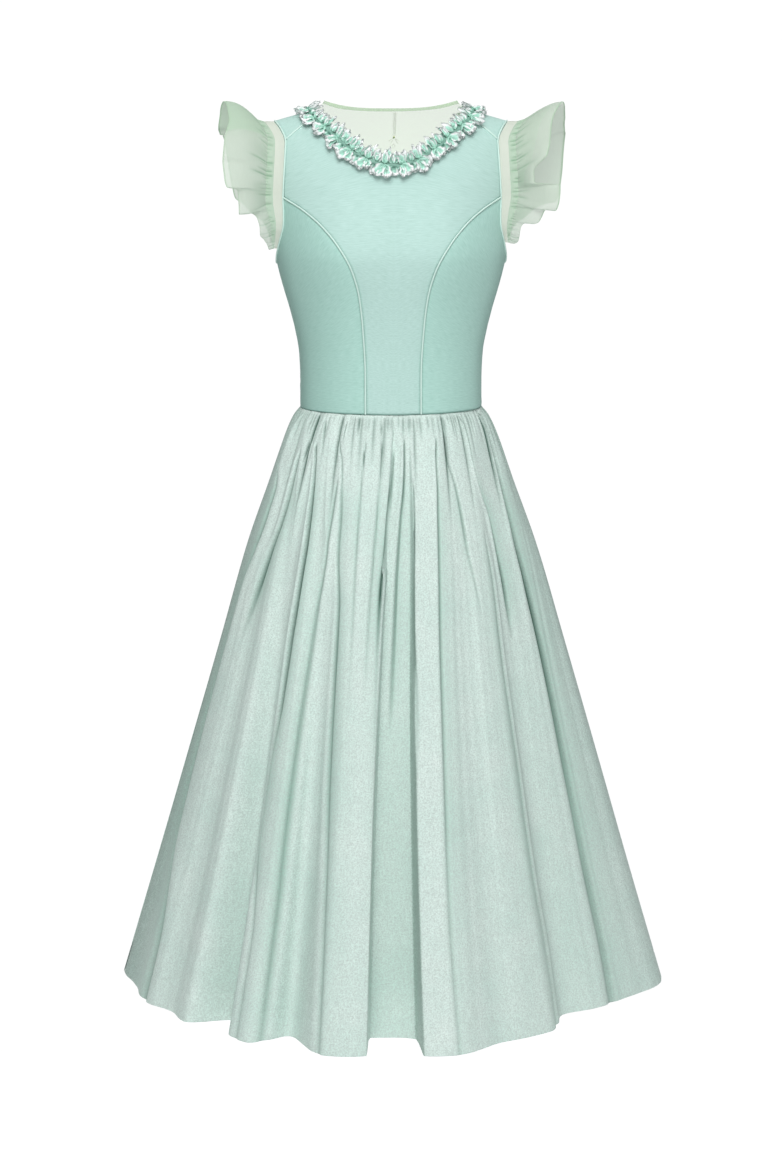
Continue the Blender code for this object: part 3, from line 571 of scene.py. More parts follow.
velvetLook = {
    "light": fromSrgb(229, 243, 237),
    "mint": fromSrgb(213, 235, 227),
    # the colour of the painted shade in the folds' hollows and on the slopes beside the creases
    "hollow": fromSrgb(146, 198, 178),
    "silver": fromSrgb(184, 197, 191),
    # the colour of the painted shade where the cloth turns away and at the sides
    "paintedFlankShade": fromSrgb(150, 172, 163),
    # the colour of the painted shade in the creases and the gathers' grooves
    "crease": fromSrgb(66, 98, 86),
    "roughness": 0.85,
    "sheen": 0.12,
    "sheenTint": (0.92, 1.0, 0.97),
    "speckleGain": 4.5,
    "blotchGain": 2.2,
    "hollowShare": 0.72,
    "silverShare": 0.75,  # of the nap that catches the light
    "flankShadeShare": 0.9,
    "bump": 0.5,
    "bumpDepth": 0.0008,
}


def velvetMaterial(look):
    material, tree, shader = startMaterial("SkirtVelvet", look["roughness"], look["sheen"], look["sheenTint"])
    nap = addNode(tree, "ShaderNodeGroup", node_tree=napGroup)
    speckle = contrasted(tree, nap.outputs["Speckle"], 0.45, look["speckleGain"])
    blotch = contrasted(tree, nap.outputs["Blotch"], 0.5, look["blotchGain"])
    colour = mixColour(tree, blotch, look["mint"], look["light"])
    # painted shade in the folds' hollows and on the slopes beside the creases
    hollow = mathNode(tree, "MULTIPLY", maskOf(tree, "hollow"), look["hollowShare"])
    colour = mixColour(tree, hollow, colour, look["hollow"])
    silver = mathNode(tree, "MULTIPLY", speckle, look["silverShare"])
    colour = mixColour(tree, silver, colour, look["silver"])
    # painted shade where the cloth turns away and at both sides, speckled by the nap
    uneven = mathNode(tree, "ADD", mathNode(tree, "MULTIPLY", speckle, 0.7), 0.45)
    turned = mathNode(tree, "MULTIPLY", maskOf(tree, "paintedFlankShade"), uneven)
    turned = mathNode(tree, "MULTIPLY", turned, look["flankShadeShare"], clamp=True)
    colour = mixColour(tree, turned, colour, look["paintedFlankShade"])
    # painted shade in the creases and the gathers' grooves
    colour = mixColour(tree, maskOf(tree, "crease"), colour, look["crease"])
    join(tree, colour, shader.inputs["Base Color"])
    addBump(tree, shader, nap.outputs["Height"], look["bump"], look["bumpDepth"])
    return material


skirtVelvet = velvetMaterial(velvetLook)

# Organza: how much of what lies behind it each piece covers, and the tint where it lies double
organzaLooks = {
    "frill": {"colour": fromSrgb(222, 235, 220), "cover": 0.76, "double": (0.80, 0.91, 0.82)},
    "band": {"colour": fromSrgb(244, 248, 236), "cover": 0.94, "double": (0.90, 0.96, 0.90)},
    "casing": {"colour": fromSrgb(214, 235, 214), "cover": 0.86, "double": (0.80, 0.91, 0.82)},
    "yoke": {"colour": fromSrgb(200, 250, 178), "cover": 0.31, "double": (0.96, 0.98, 1.0)},
}
organzaWeave = {
    "roughness": 0.55,
    "sheen": 0.1,
    "threadsPerMetre": 1100.0,
    "slubs": 0.05,
    # tint of the painted shade in the gathers' grooves and in soft patches by the casing
    "creaseShadeTint": (0.42, 0.62, 0.48),
    "doubleShare": 0.8,
    "doubleCover": 0.14,
    "grain": 0.06,
    "glow": 0.44,  # how much light comes through it
    "bump": 0.25,
    "bumpDepth": 0.0004,
}


def tinted(colour, tint):
    return tuple(c * k for c, k in zip(colour, tint))


def organzaMaterial(name, look):
    material, tree, shader = startMaterial(name, organzaWeave["roughness"], organzaWeave["sheen"])
    weave = addNode(tree, "ShaderNodeGroup", node_tree=weaveGroup)
    weave.inputs["Threads per Metre"].default_value = organzaWeave["threadsPerMetre"]
    weave.inputs["Slub Strength"].default_value = organzaWeave["slubs"]
    layers = maskOf(tree, "layers")
    double = mathNode(tree, "MULTIPLY", layers, organzaWeave["doubleShare"])
    colour = mixColour(tree, double, look["colour"], tinted(look["colour"], look["double"]))
    # painted shade in the gathers' grooves and in soft patches fanning out from the casing
    shaded = tinted(look["colour"], organzaWeave["creaseShadeTint"])
    colour = mixColour(tree, maskOf(tree, "crease"), colour, shaded)
    join(tree, colour, shader.inputs["Base Color"])
    grain = around(tree, weave.outputs["Shade"], 0.5, organzaWeave["grain"])
    cover = mathNode(tree, "ADD", grain, look["cover"])
    double = mathNode(tree, "MULTIPLY", layers, organzaWeave["doubleCover"])
    cover = mathNode(tree, "ADD", cover, double, clamp=True)
    join(tree, cover, shader.inputs["Alpha"])
    addBump(tree, shader, weave.outputs["Height"], organzaWeave["bump"], organzaWeave["bumpDepth"])
    glow = addNode(tree, "ShaderNodeBsdfTranslucent")
    join(tree, colour, glow.inputs["Color"])
    clear = addNode(tree, "ShaderNodeBsdfTransparent")
    through = addNode(tree, "ShaderNodeMixShader")
    join(tree, cover, through.inputs[0])
    join(tree, clear.outputs[0], through.inputs[1])
    join(tree, glow.outputs[0], through.inputs[2])
    both = addNode(tree, "ShaderNodeMixShader", inputs={0: organzaWeave["glow"]})
    join(tree, shader.outputs[0], both.inputs[1])
    join(tree, through.outputs[0], both.inputs[2])
    join(tree, both.outputs[0], tree.nodes["Material Output"].inputs["Surface"])
    return material


organza = {key: organzaMaterial("Organza" + key.capitalize(), look) for key, look in organzaLooks.items()}


def plainMaterial(name, colour, roughness, sheen):
    material, tree, shader = startMaterial(name, roughness, sheen)
    place = addNode(tree, "ShaderNodeTexCoord")
    noise = addNode(tree, "ShaderNodeTexNoise", inputs={"Scale": 900.0, "Detail": 2.0})
    join(tree, place.outputs["Object"], noise.inputs["Vector"])
    deeper = tinted(colour, (0.86, 0.86, 0.86))
    join(tree, mixColour(tree, noise.outputs[0], deeper, colour), shader.inputs["Base Color"])
    addBump(tree, shader, noise.outputs[0], 0.25, 0.0003)
    return material


pipingSatin = plainMaterial("PipingSatin", fromSrgb(214, 240, 231), 0.42, 0.1)
threadCotton = plainMaterial("ThreadCotton", fromSrgb(244, 252, 226), 0.7, 0.0)
threadCotton.node_tree.nodes["Principled BSDF"].inputs["Alpha"].default_value = 0.85  # loosely spun
knotThread = plainMaterial("KnotThread", fromSrgb(206, 220, 140), 0.7, 0.0)

ribbonLook = {
    "mint": fromSrgb(182, 228, 211),
    # the ribbon's white edge; on the ridges it is painted highlight
    "rim": fromSrgb(246, 246, 247),
    # the colour of the painted shade in the gaps between petals, in the mouths and slits, in the petals'
    # hollows and along their edges
    "crease": fromSrgb(40, 96, 80),
    "roughness": 0.45,
    "sheen": 0.1,
    "rimGrain": 0.8,
    "bump": 0.3,
    "bumpDepth": 0.0005,
}


def ribbonMaterial(look):
    material, tree, shader = startMaterial("RibbonSatin", look["roughness"], look["sheen"])
    place = addNode(tree, "ShaderNodeTexCoord")
    noise = addNode(tree, "ShaderNodeTexNoise", inputs={"Scale": 620.0, "Detail": 3.0})
    join(tree, place.outputs["Object"], noise.inputs["Vector"])
    rim = maskOf(tree, "rim")
    edge = mathNode(tree, "ADD", rim, around(tree, noise.outputs[0], 0.5, look["rimGrain"]), clamp=True)
    edge = mathNode(tree, "MULTIPLY", edge, rim)
    colour = mixColour(tree, edge, look["mint"], look["rim"])
    # painted shade in the gaps, mouths, slits, hollows and along the petals' edges
    colour = mixColour(tree, maskOf(tree, "crease"), colour, look["crease"])
    join(tree, colour, shader.inputs["Base Color"])
    addBump(tree, shader, noise.outputs[0], look["bump"], look["bumpDepth"])
    return material


ribbonSatin = ribbonMaterial(ribbonLook)
print("materials ready")


Cut = namedtuple("Cut", "flat area")  # one sheet before it is sewn, without its seam allowances


# skirt

waistGap = 0.0006
SkirtSection = namedtuple("SkirtSection", "share halfWidth front back")
skirtSections = (
    SkirtSection(0.00, 0.1290, 0.0950, 0.0940),
    SkirtSection(0.03, 0.1428, 0.1065, 0.1060),
    SkirtSection(0.07, 0.1575, 0.1190, 0.1190),
    SkirtSection(0.13, 0.1765, 0.1370, 0.1380),
    SkirtSection(0.23, 0.2074, 0.1640, 0.1660),
    SkirtSection(0.40, 0.2505, 0.2060, 0.2100),
    SkirtSection(0.60, 0.3010, 0.2560, 0.2610),
    SkirtSection(0.80, 0.3510, 0.3060, 0.3110),
    SkirtSection(1.00, 0.4020, 0.3560, 0.3610),
)
Fold = namedtuple("Fold", "hem waist depth start")  # angles at the hem and the waist, depth at the hem
skirtFolds = (
    Fold(-92, -94, 0.006, 0.05),
    Fold(-79, -82, 0.022, 0.10),
    Fold(-70, -75, 0.016, 0.10),
    Fold(-59, -64, 0.032, 0.00),
    Fold(-52, -57, 0.022, 0.05),
    Fold(-44.5, -52, 0.070, 0.15),
    Fold(-38, -45, 0.024, 0.00),
    Fold(-32.5, -40, 0.013, 0.00),
    Fold(-24.5, -32, 0.058, 0.20),
    Fold(-14.5, -21, 0.003, 0.00),
    Fold(-6.3, -0.9, 0.010, 0.00),
    Fold(-5.6, 0, 0.076, 0.00),
    Fold(-1, 5.5, 0.078, 0.05),
    Fold(3.5, 8.8, 0.070, 0.04),
    Fold(4.5, 10.4, 0.008, 0.04),
    Fold(11, 22, 0.003, 0.00),
    Fold(22, 34, 0.030, 0.00),
    Fold(35, 44.5, 0.033, 0.00),
    Fold(46.5, 57, 0.072, 0.00),
    Fold(55, 71, 0.054, 0.00),
    Fold(66, 83, 0.033, 0.10),
    Fold(79, 93, 0.001, 0.05),
    Fold(91, 104, 0.012, 0.15),
    Fold(103, 113, 0.052, 0.00),
    Fold(112, 121, 0.008, 0.00),
    Fold(124, 132, 0.036, 0.10),
    Fold(133, 139, 0.068, 0.00),
    Fold(141, 146, 0.010, 0.00),
    Fold(155, 157, 0.006, 0.00),
    Fold(160, 162, 0.078, 0.00),
    Fold(172, 173, 0.066, 0.05),
    Fold(176, 176, 0.005, 0.00),
    Fold(190, 189, 0.024, 0.10),
    Fold(199, 197, 0.066, 0.00),
    Fold(206, 203, 0.014, 0.00),
    Fold(218, 214, 0.010, 0.00),
    Fold(227, 222, 0.060, 0.00),
    Fold(237, 232, 0.030, 0.15),
    Fold(247, 243, 0.012, 0.00),
    Fold(257, 254, 0.030, 0.10),
)
foldGrowth, foldAtWaist, gatherPull = 0.9, 0.035, 3.0

# Sharp creases: shares of the skirt's length, the angle round it at each and the cut's depth in millimetres
Crease = namedtuple("Crease", "share angle depth")


def creaseRows(*rows):
    return tuple(Crease(*row) for row in rows)


skirtCreases = (
    creaseRows((0.01, -75, 8), (0.035, -75, 12), (0.086, -77, 6), (0.133, -71.5, 5), (0.184, -71.5, 5),
               (0.235, -73.7, 6), (0.289, -77, 9), (0.393, -79, 10), (0.498, -80.9, 9), (0.603, -81, 8),
               (0.706, -79.4, 7), (0.802, -74.3, 6), (0.899, -70.6, 5), (1, -70, 5)),
    creaseRows((0.06, -56.8, 0), (0.079, -56.8, 6), (0.128, -56.7, 9), (0.177, -57.4, 7),
               (0.228, -60.3, 5), (0.279, -62.4, 4), (0.33, -64.2, 2), (0.382, -65.7, 0)),
    creaseRows((0.045, -52.5, 0), (0.054, -52.5, 4), (0.062, -52.5, 4), (0.085, -52.5, 0)),
    creaseRows((0.012, -44, 0), (0.018, -43, 6), (0.035, -42, 3), (0.06, -40, 0)),
    creaseRows((0.012, -28.3, 0), (0.02, -28.3, 6), (0.03, -28.5, 4), (0.045, -29, 0)),
    creaseRows((0.05, -46, 0), (0.06, -45, 8), (0.075, -43.7, 7), (0.123, -41.1, 7), (0.17, -39.6, 10),
               (0.218, -38.5, 10), (0.267, -38.3, 8), (0.315, -38.5, 9), (0.364, -38.9, 10),
               (0.461, -38.8, 8), (0.569, -40.5, 6), (0.668, -40.5, 5), (0.749, -38, 3.5),
               (0.841, -36, 2.5), (1, -36, 2.5)),
    creaseRows((0.1, -28, 0), (0.119, -28, 3), (0.215, -28, 3), (0.313, -29.6, 3), (0.505, -30, 4),
               (0.696, -29.7, 5), (0.791, -29.4, 5), (1, -29.5, 4)),
    creaseRows((0.042, -30.5, 0), (0.055, -29.5, 4), (0.072, -27.2, 3), (0.119, -24.9, 2.5),
               (0.167, -23.7, 3), (0.214, -23.2, 3), (0.309, -20.8, 4), (0.405, -20.3, 5), (0.5, -19.8, 5),
               (0.594, -19.2, 5), (0.687, -18.2, 4), (0.78, -17.5, 3.5), (0.872, -17, 4), (1, -16.4, 3.5)),
    creaseRows((0.042, -15.2, 0), (0.05, -15.2, 7), (0.065, -15.4, 7), (0.095, -15.6, 2.5),
               (0.18, -15.4, 2.5), (0.33, -14.8, 1.5), (0.5, -14.6, 0)),
    creaseRows((0.012, -6.6, 0), (0.022, -6.6, 6), (0.035, -6.5, 3), (0.05, -6.4, 5), (0.065, -6.3, 4),
               (0.11, -6.9, 3), (0.2, -8, 3), (0.33, -9.2, 2), (0.48, -10, 0)),
    creaseRows((0.055, -0.2, 0), (0.072, -0.4, 4), (0.12, -1.5, 4), (0.168, -2.9, 4), (0.235, -4.2, 8),
               (0.264, -5, 10), (0.312, -5.6, 5), (0.409, -6.0, 2), (0.6, -6.0, 1.5), (1, -6.0, 1.5)),
    creaseRows((0.035, 6, 0), (0.05, 5.6, 5), (0.071, 5.4, 5), (0.119, 4.4, 5), (0.167, 2.6, 4),
               (0.264, 0.5, 4), (0.361, -0.5, 4), (0.457, -1.4, 3), (0.52, -1.8, 0)),
    creaseRows((0.1, 8.8, 0), (0.12, 8.6, 4), (0.168, 8, 4), (0.264, 6.5, 2.5), (0.361, 5.8, 3),
               (0.458, 6, 2), (0.6, 4.6, 1.5), (0.75, 4.2, 2), (1, 4.2, 2)),
    creaseRows((0.035, 23.8, 0), (0.045, 23.5, 5), (0.058, 22.6, 6), (0.072, 21.9, 4), (0.119, 20.7, 4),
               (0.166, 19.1, 4), (0.261, 16.8, 3.5), (0.355, 15.2, 3.5), (0.449, 14.2, 3.5),
               (0.543, 13.4, 3.5), (0.637, 12.7, 3.5), (0.73, 12.1, 3), (0.823, 11.8, 3), (1, 12, 2.5)),
    creaseRows((0.022, 30.2, 0), (0.032, 29.9, 7), (0.045, 29.6, 6), (0.073, 29.2, 3), (0.122, 31.1, 3),
               (0.17, 31.5, 3), (0.218, 31.4, 2), (0.267, 32.5, 1.5), (0.34, 34, 0)),
    creaseRows((0.01, 45.6, 3), (0.02, 46.6, 9), (0.05, 46.6, 9), (0.077, 46.2, 9), (0.127, 48.2, 7),
               (0.178, 51.4, 12), (0.228, 51.8, 10), (0.278, 52.4, 6), (0.328, 52.3, 3), (0.38, 52.3, 0)),
    creaseRows((0.19, 43.4, 0), (0.223, 43.5, 2), (0.273, 43.7, 3), (0.37, 42.1, 4), (0.469, 41.4, 4),
               (0.568, 41.6, 4.5), (0.665, 40.5, 5), (0.763, 40.2, 5), (0.867, 41.5, 5), (1, 39.5, 4)),
    creaseRows((0.01, 71.5, 6), (0.035, 70.8, 12), (0.085, 69.4, 9), (0.135, 68.1, 9), (0.185, 66.9, 10),
               (0.234, 65.7, 8), (0.285, 65.8, 7), (0.386, 65.5, 5.5), (0.487, 64.6, 5.5),
               (0.588, 63.4, 5.5), (0.689, 62.6, 5), (0.791, 62, 6), (0.894, 61.8, 5.5), (1, 60.8, 5)),
    # round the sides and the back, of the same kinds
    creaseRows((0.05, 114, 0), (0.07, 114, 6), (0.2, 111, 6), (0.5, 108, 5), (0.8, 107, 3), (1, 107, 2)),
    creaseRows((0.03, 127, 0), (0.05, 127, 6), (0.12, 126, 6), (0.17, 125, 0)),
    creaseRows((0.06, 139, 0), (0.09, 139, 8), (0.25, 136, 9), (0.5, 133, 7), (0.8, 132, 4), (1, 132, 2)),
    creaseRows((0.04, 152, 0), (0.06, 152, 5), (0.3, 149, 4), (0.5, 148, 0)),
    creaseRows((0.02, 163, 0), (0.05, 163, 8), (0.25, 161, 9), (0.5, 160, 7), (0.8, 160, 4), (1, 160, 3)),
    creaseRows((0.07, 178, 0), (0.1, 177, 6), (0.3, 175, 6), (0.6, 174, 4), (0.9, 174, 1)),
    creaseRows((0.03, 186, 0), (0.05, 186, 6), (0.09, 186, 5), (0.13, 186, 0)),
    creaseRows((0.04, 197, 0), (0.06, 197, 7), (0.25, 198, 9), (0.5, 199, 7), (0.8, 200, 4), (1, 200, 2)),
    creaseRows((0.05, 211, 0), (0.07, 211, 5), (0.25, 213, 4), (0.45, 214, 0)),
    creaseRows((0.03, 223, 0), (0.06, 223, 8), (0.25, 225, 9), (0.5, 227, 7), (0.8, 227, 4), (1, 227, 2)),
    creaseRows((0.05, 236, 0), (0.08, 236, 6), (0.2, 238, 5), (0.35, 239, 0)),
    creaseRows((0.03, 252, 0), (0.05, 252, 7), (0.25, 255, 8), (0.5, 257, 6), (0.8, 258, 3), (1, 258, 1)),
)

skirtLook = {
    "columns": 640,
    "rows": 128,
    "slope": 0.886,  # from the waist seam down to the hem
    "waistRadius": 0.1130,  # of a round waist as long as this one
    "normalStep": (0.25, 0.004),  # degrees and share over which the cloth's facing is taken
    "gatherSpacing": 0.0068,  # between the finest gathers, along the waist
    "gatherDepth": 0.0034,
    "gatherWidth": 0.0016,
    "puff": 0.0006,  # how far the gathers swell below the waist seam
    "hemTurn": 0.040,
    "hemGap": 0.0012,  # between the cloth and its turned hem
    "hemFold": 0.0006,
    "stitchDent": (0.0005, 0.0016),  # how deep and how wide the hem's stitches pull the cloth in
    "rippleDepth": 0.0012,
}
creaseShape = {
    "width": (0.0004, 0.0038),  # at the waist and at the hem
    "facing": 0.30,  # towards the sides the creases broaden, at most by one over this
    "core": 0.72,  # shares of a crease's depth: its sharp cut, the slope beside it and its raised lip
    "slope": 0.28,
    "lip": 0.22,
    "slopeReach": 4.0,  # in widths, as the lip's place and width are
    "lipPlace": 2.6,
    "lipWidth": 1.6,
    "darkCut": 0.0085,  # the depths whose cut and whose slope are fully shaded
    "darkSlope": 0.0055,
}
# Strengths of the painted shade on the velvet
skirtShade = {
    "flankFrom": 0.12,  # how far the cloth turns away before painted shade darkens its nap
    "flankGain": 2.2,
    "rightFlanks": 0.4,  # the wearer's right gets less painted shade
    "sideWidth": 12.0,  # degrees over which painted shade darkens both sides
    "foldDepth": 0.055,  # of a fold whose bottom lies fully in the shade
    "fold": 0.26,
    "crease": 1.4,
    "creaseFade": 1.0,  # less of it towards the hem
    "gather": 1.15,
}
# Gathers of three kinds: spacing in finest gathers, reach down the skirt as a share and depth
Gathers = namedtuple("Gathers", "spacing reach depth")
skirtGathers = (Gathers(1.0, 0.045, 0.55), Gathers(2.1, 0.095, 0.9), Gathers(4.6, 0.20, 1.1))
stitchShare = 1 - skirtLook["hemTurn"] / skirtLook["slope"]


def foldTable(value):  # one column of the folds against their hem angles, closed round the skirt
    hem = [fold.hem for fold in skirtFolds]
    got = [getattr(fold, value) for fold in skirtFolds]
    turn = 360 if value == "waist" else 0
    hem = [hem[-2] - 360, hem[-1] - 360, *hem, hem[0] + 360, hem[1] + 360]
    got = [got[-2] - turn, got[-1] - turn, *got, got[0] + turn, got[1] + turn]
    return np.array(hem, float), np.array(got, float)


def skirtAngle(hemAngle, share):  # degrees round the skirt, of a fold followed up from the hem
    waistAngle = pchip(*foldTable("waist"), hemAngle)
    return hemAngle + (waistAngle - hemAngle) * (1 - share) ** gatherPull


def skirtEnvelope(angle, share):
    angle = np.radians(angle)
    half = readTable(skirtSections, "share", "halfWidth", share)
    front = readTable(skirtSections, "share", "front", share)
    back = readTable(skirtSections, "share", "back", share)
    depth = np.where(np.cos(angle) > 0, front, back)
    return np.stack([half * np.sin(angle), -depth * np.cos(angle)], axis=-1)


def skirtForm(hemAngle, share):
    hemAngle, share = np.broadcast_arrays(np.asarray(hemAngle, float), np.asarray(share, float))
    depth = pchip(*foldTable("depth"), hemAngle)
    start = pchip(*foldTable("start"), hemAngle)
    grown = np.clip((share - start) / (1 - start), 0, 1) ** foldGrowth
    angle = skirtAngle(hemAngle, share)
    ring = skirtEnvelope(angle, share)
    straight = np.exp(-((angle / 24) ** 2))[..., None]  # the deep fold at the middle goes straight back
    outwards = unit(unit(ring) * (1 - straight) + np.array([0, -1]) * straight)
    ring = ring - outwards * (depth * (foldAtWaist + (1 - foldAtWaist) * grown))[..., None]
    top = waistZ - waistGap
    return np.concatenate([ring, (top + (hemZ - top) * share)[..., None]], axis=-1)


def gatherHeights(hemAngle, share):  # gathers below the waist seam, each with its own length and depth
    arc = np.radians(skirtAngle(hemAngle, np.zeros_like(hemAngle))) * skirtLook["waistRadius"]
    total = 2 * math.pi * skirtLook["waistRadius"]
    position = (arc + total / 2) % total - total / 2
    opening = 0.35 + 0.65 * easeStep(0, 0.018, share)
    thin = skirtLook["gatherWidth"]
    height, valley = np.zeros((2, *share.shape))
    for level, kind in enumerate(skirtGathers):
        count = int(total / (skirtLook["gatherSpacing"] * kind.spacing))
        random = np.random.default_rng(31 + level)
        edges = np.sort((np.arange(count) + random.uniform(-0.33, 0.33, count)) * total / count - total / 2)
        ends = kind.reach * random.uniform(0.45, 1.25, count)
        depths = kind.depth * random.uniform(0.45, 1.2, count)
        cell = np.searchsorted(edges, position) - 1
        near = (cell % count, (cell + 1) % count)  # the grooves on either side
        width = (edges[near[1]] - edges[near[0]]) % total
        t = ((position - edges[near[0]]) % total) / np.maximum(width, 1e-6)
        low, high = (depths[one] * (1 - easeStep(0.25 * ends[one], ends[one], share)) for one in near)
        groove = low * np.exp(-(t * width / thin)) + high * np.exp(-((1 - t) * width / thin))
        crown = (1 - (2 * t - 1) ** 2) * 0.5 * (low + high)
        height += skirtLook["gatherDepth"] * (0.45 * crown - groove) * opening
        # valley: a mask of painted shade in each gather's groove
        valley = np.maximum(valley, groove**1.5)
    return height, valley


def creaseHeights(angle, share):  # the sharp creases: how far in they cut, and masks of the painted shade in their valleys and on their slopes
    reach = readTable(skirtSections, "share", "halfWidth", share) * 0.94
    height, valley, softShade = np.zeros((3, *share.shape))
    thin, wide = creaseShape["width"]
    narrow = thin + (wide - thin) * share**0.6
    sharp = 2.4 - 0.8 * easeStep(0.05, 0.4, share)
    below = easeStep(0.03, 0.16, share)  # the gathers leave no room for slopes above
    for number, rows in enumerate(skirtCreases):
        path = readTable(rows, "share", "angle", share)
        broad = 1 / np.maximum(np.abs(np.cos(np.radians(path))), creaseShape["facing"])
        width = narrow * broad
        deep = readTable(rows, "share", "depth", share) / 1000 * broad**0.4
        deep = np.where((share < rows[0].share) | (share > rows[-1].share), 0, deep)
        turn = (angle - path + 180) % 360 - 180
        off = np.radians(turn) * reach
        lean = 1 if number % 2 else -1  # every other crease leans the other way
        core = np.exp(-((off / width) ** 2))
        steep = np.where(off * lean > 0, 1.0, np.exp(-np.abs(off) / width))
        slope = np.exp(-np.abs(off) / (creaseShape["slopeReach"] * width)) * steep * below
        fromLip = off * lean + creaseShape["lipPlace"] * width
        lip = np.exp(-((fromLip / (creaseShape["lipWidth"] * width)) ** 2))
        cut = creaseShape["core"] * core + creaseShape["slope"] * slope
        height += deep * (creaseShape["lip"] * lip - cut)
        valley = np.maximum(valley, core**sharp * np.clip(deep / creaseShape["darkCut"], 0, 1))
        dark = np.clip(deep / creaseShape["darkSlope"], 0, 1) * easeStep(0.05, 0.16, share)
        softShade = np.maximum(softShade, slope**0.7 * dark)
    return height, valley, softShade


def skirtSurface(hemAngle, share):  # the cloth, its facing, and masks of the painted shade in gathers, creases and on soft slopes
    turn, rise = skirtLook["normalStep"]
    across = skirtForm(hemAngle + turn, share) - skirtForm(hemAngle - turn, share)
    above, below = np.clip(share - rise, 0, 1), np.clip(share + rise, 0, 1)
    normal = unit(np.cross(across, skirtForm(hemAngle, above) - skirtForm(hemAngle, below)))
    gather, gatherValley = gatherHeights(hemAngle, share)
    crease, creaseValley, softShade = creaseHeights(skirtAngle(hemAngle, share), share)
    ripple = softNoise(hemAngle, 5, 3.1) * 0.6 + softNoise(hemAngle + 3 * share, 6, 1.6) * 0.4
    ripple = ripple * skirtLook["rippleDepth"] * easeStep(0.05, 0.4, share) * (1 - 0.3 * share)
    puff = skirtLook["puff"] * easeStep(0, 0.012, share) * (1 - easeStep(0.02, 0.08, share))
    height = (gather + crease + ripple + puff) * easeStep(-0.004, 0.006, share)
    return skirtForm(hemAngle, share) + normal * height[..., None], normal, gatherValley, creaseValley, softShade


def flankShade(grid, envelope, angle, share):  # painted shade on the nap where the cloth turns away, and at both sides
    away = np.clip(1 - np.abs(np.sum(gridNormals(grid) * gridNormals(envelope), axis=-1)), 0, 1)
    paintedFlankShade = np.clip((away - skirtShade["flankFrom"]) * skirtShade["flankGain"], 0, 1)
    paintedFlankShade = paintedFlankShade * (0.35 + 0.65 * easeStep(0.1, 0.32, share))
    turn = (angle + 180) % 360
    paintedFlankShade = paintedFlankShade * np.where(np.abs(turn - 270) < 90, 1, skirtShade["rightFlanks"])
    aside = (np.abs(turn - 180) - 90) / skirtShade["sideWidth"]
    return np.maximum(paintedFlankShade, np.exp(-(aside**2)))


def withHem(grid, share, normal):  # the cloth with its hem turned up inside
    facings = gridNormals(grid)
    gap = -skirtLook["hemGap"] if facings[0, 0] @ normal[0, 0] > 0 else skirtLook["hemGap"]
    fold = grid[-1:] + 0
    fold[..., 2] -= skirtLook["hemFold"]
    rows = [np.argmin(np.abs(share[:, 0] - up)) for up in np.linspace(1, stitchShare, 7)[1:]]
    return np.concatenate([grid, fold, grid[rows] + facings[rows] * gap])


def makeSkirtPiece(name, first, last, node):
    hemAngle = np.linspace(first, last, skirtLook["columns"])[None, :]
    nearStitch = stitchShare + np.array([-0.004, -0.0015, 0, 0.0015, 0.004])
    share = np.sort(np.concatenate([np.linspace(0, 1, skirtLook["rows"]) ** 1.45, nearStitch]))[:, None]
    hemAngle, share = np.broadcast_arrays(hemAngle, share)
    grid, normal, gatherValley, creaseValley, softShade = skirtSurface(hemAngle, share)
    deep, wide = skirtLook["stitchDent"]
    grid = grid - normal * (deep * np.exp(-(((share - stitchShare) / wide) ** 2)))[..., None]
    form, angle = skirtForm(hemAngle, share), skirtAngle(hemAngle, share)
    envelope = np.concatenate([skirtEnvelope(angle, share), form[..., 2:]], axis=-1)
    # painted shade: the deeper a fold lies inside the skirt's round, the darker, and on the slopes beside the
    # creases
    hollow = np.linalg.norm(form - envelope, axis=-1) / skirtShade["foldDepth"]
    hollow = np.clip(hollow, 0, 1) * easeStep(0.04, 0.2, share)
    hollow = np.maximum(skirtShade["fold"] * hollow, softShade * (1 - 0.35 * easeStep(0.6, 1, share)))
    # painted shade in the creases and the gathers' grooves, less towards the hem
    crease = (skirtShade["crease"] - skirtShade["creaseFade"] * easeStep(0.15, 0.75, share)) * creaseValley
    crease = np.clip(crease + skirtShade["gather"] * gatherValley * easeStep(0, 0.008, share), 0, 1)
    masks = {"paintedFlankShade": flankShade(grid, envelope, angle, share), "crease": crease, "hollow": hollow}
    grid = withHem(grid, share, normal)
    hem = np.minimum(np.arange(len(grid)), len(share) - 1)  # the turned rows are shaded as the hem's edge is
    masks = {key: [mask[hem]] for key, mask in masks.items()}
    piece = clothMesh(name, [grid], skirtVelvet, masks, flips=[True])
    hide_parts(node)


makeSkirtPiece("skirt_front_cloth", -90.0, 90.0, "skirt_front")
makeSkirtPiece("skirt_back_cloth", 90.0, 270.0, "skirt_back")
print("skirt made")


# bodice

bodiceShape = {
    "thickness": 0.0012,
    "columns": 44,
    "seamRows": 120,
    "upperRows": 50,
    "strapRows": 60,
    "seamDip": 0.0007,  # how far the cloth sinks beside a piping
    "pucker": 0.00025,
    "drag": 0.00045,  # small creases across, above the waist seam
    "wave": 0.0005,
    "seamShade": 0.45,
    "waistShade": 0.75,
    "sideShade": {1: 0.02, -1: 0.20},  # the wearer's left and right
}


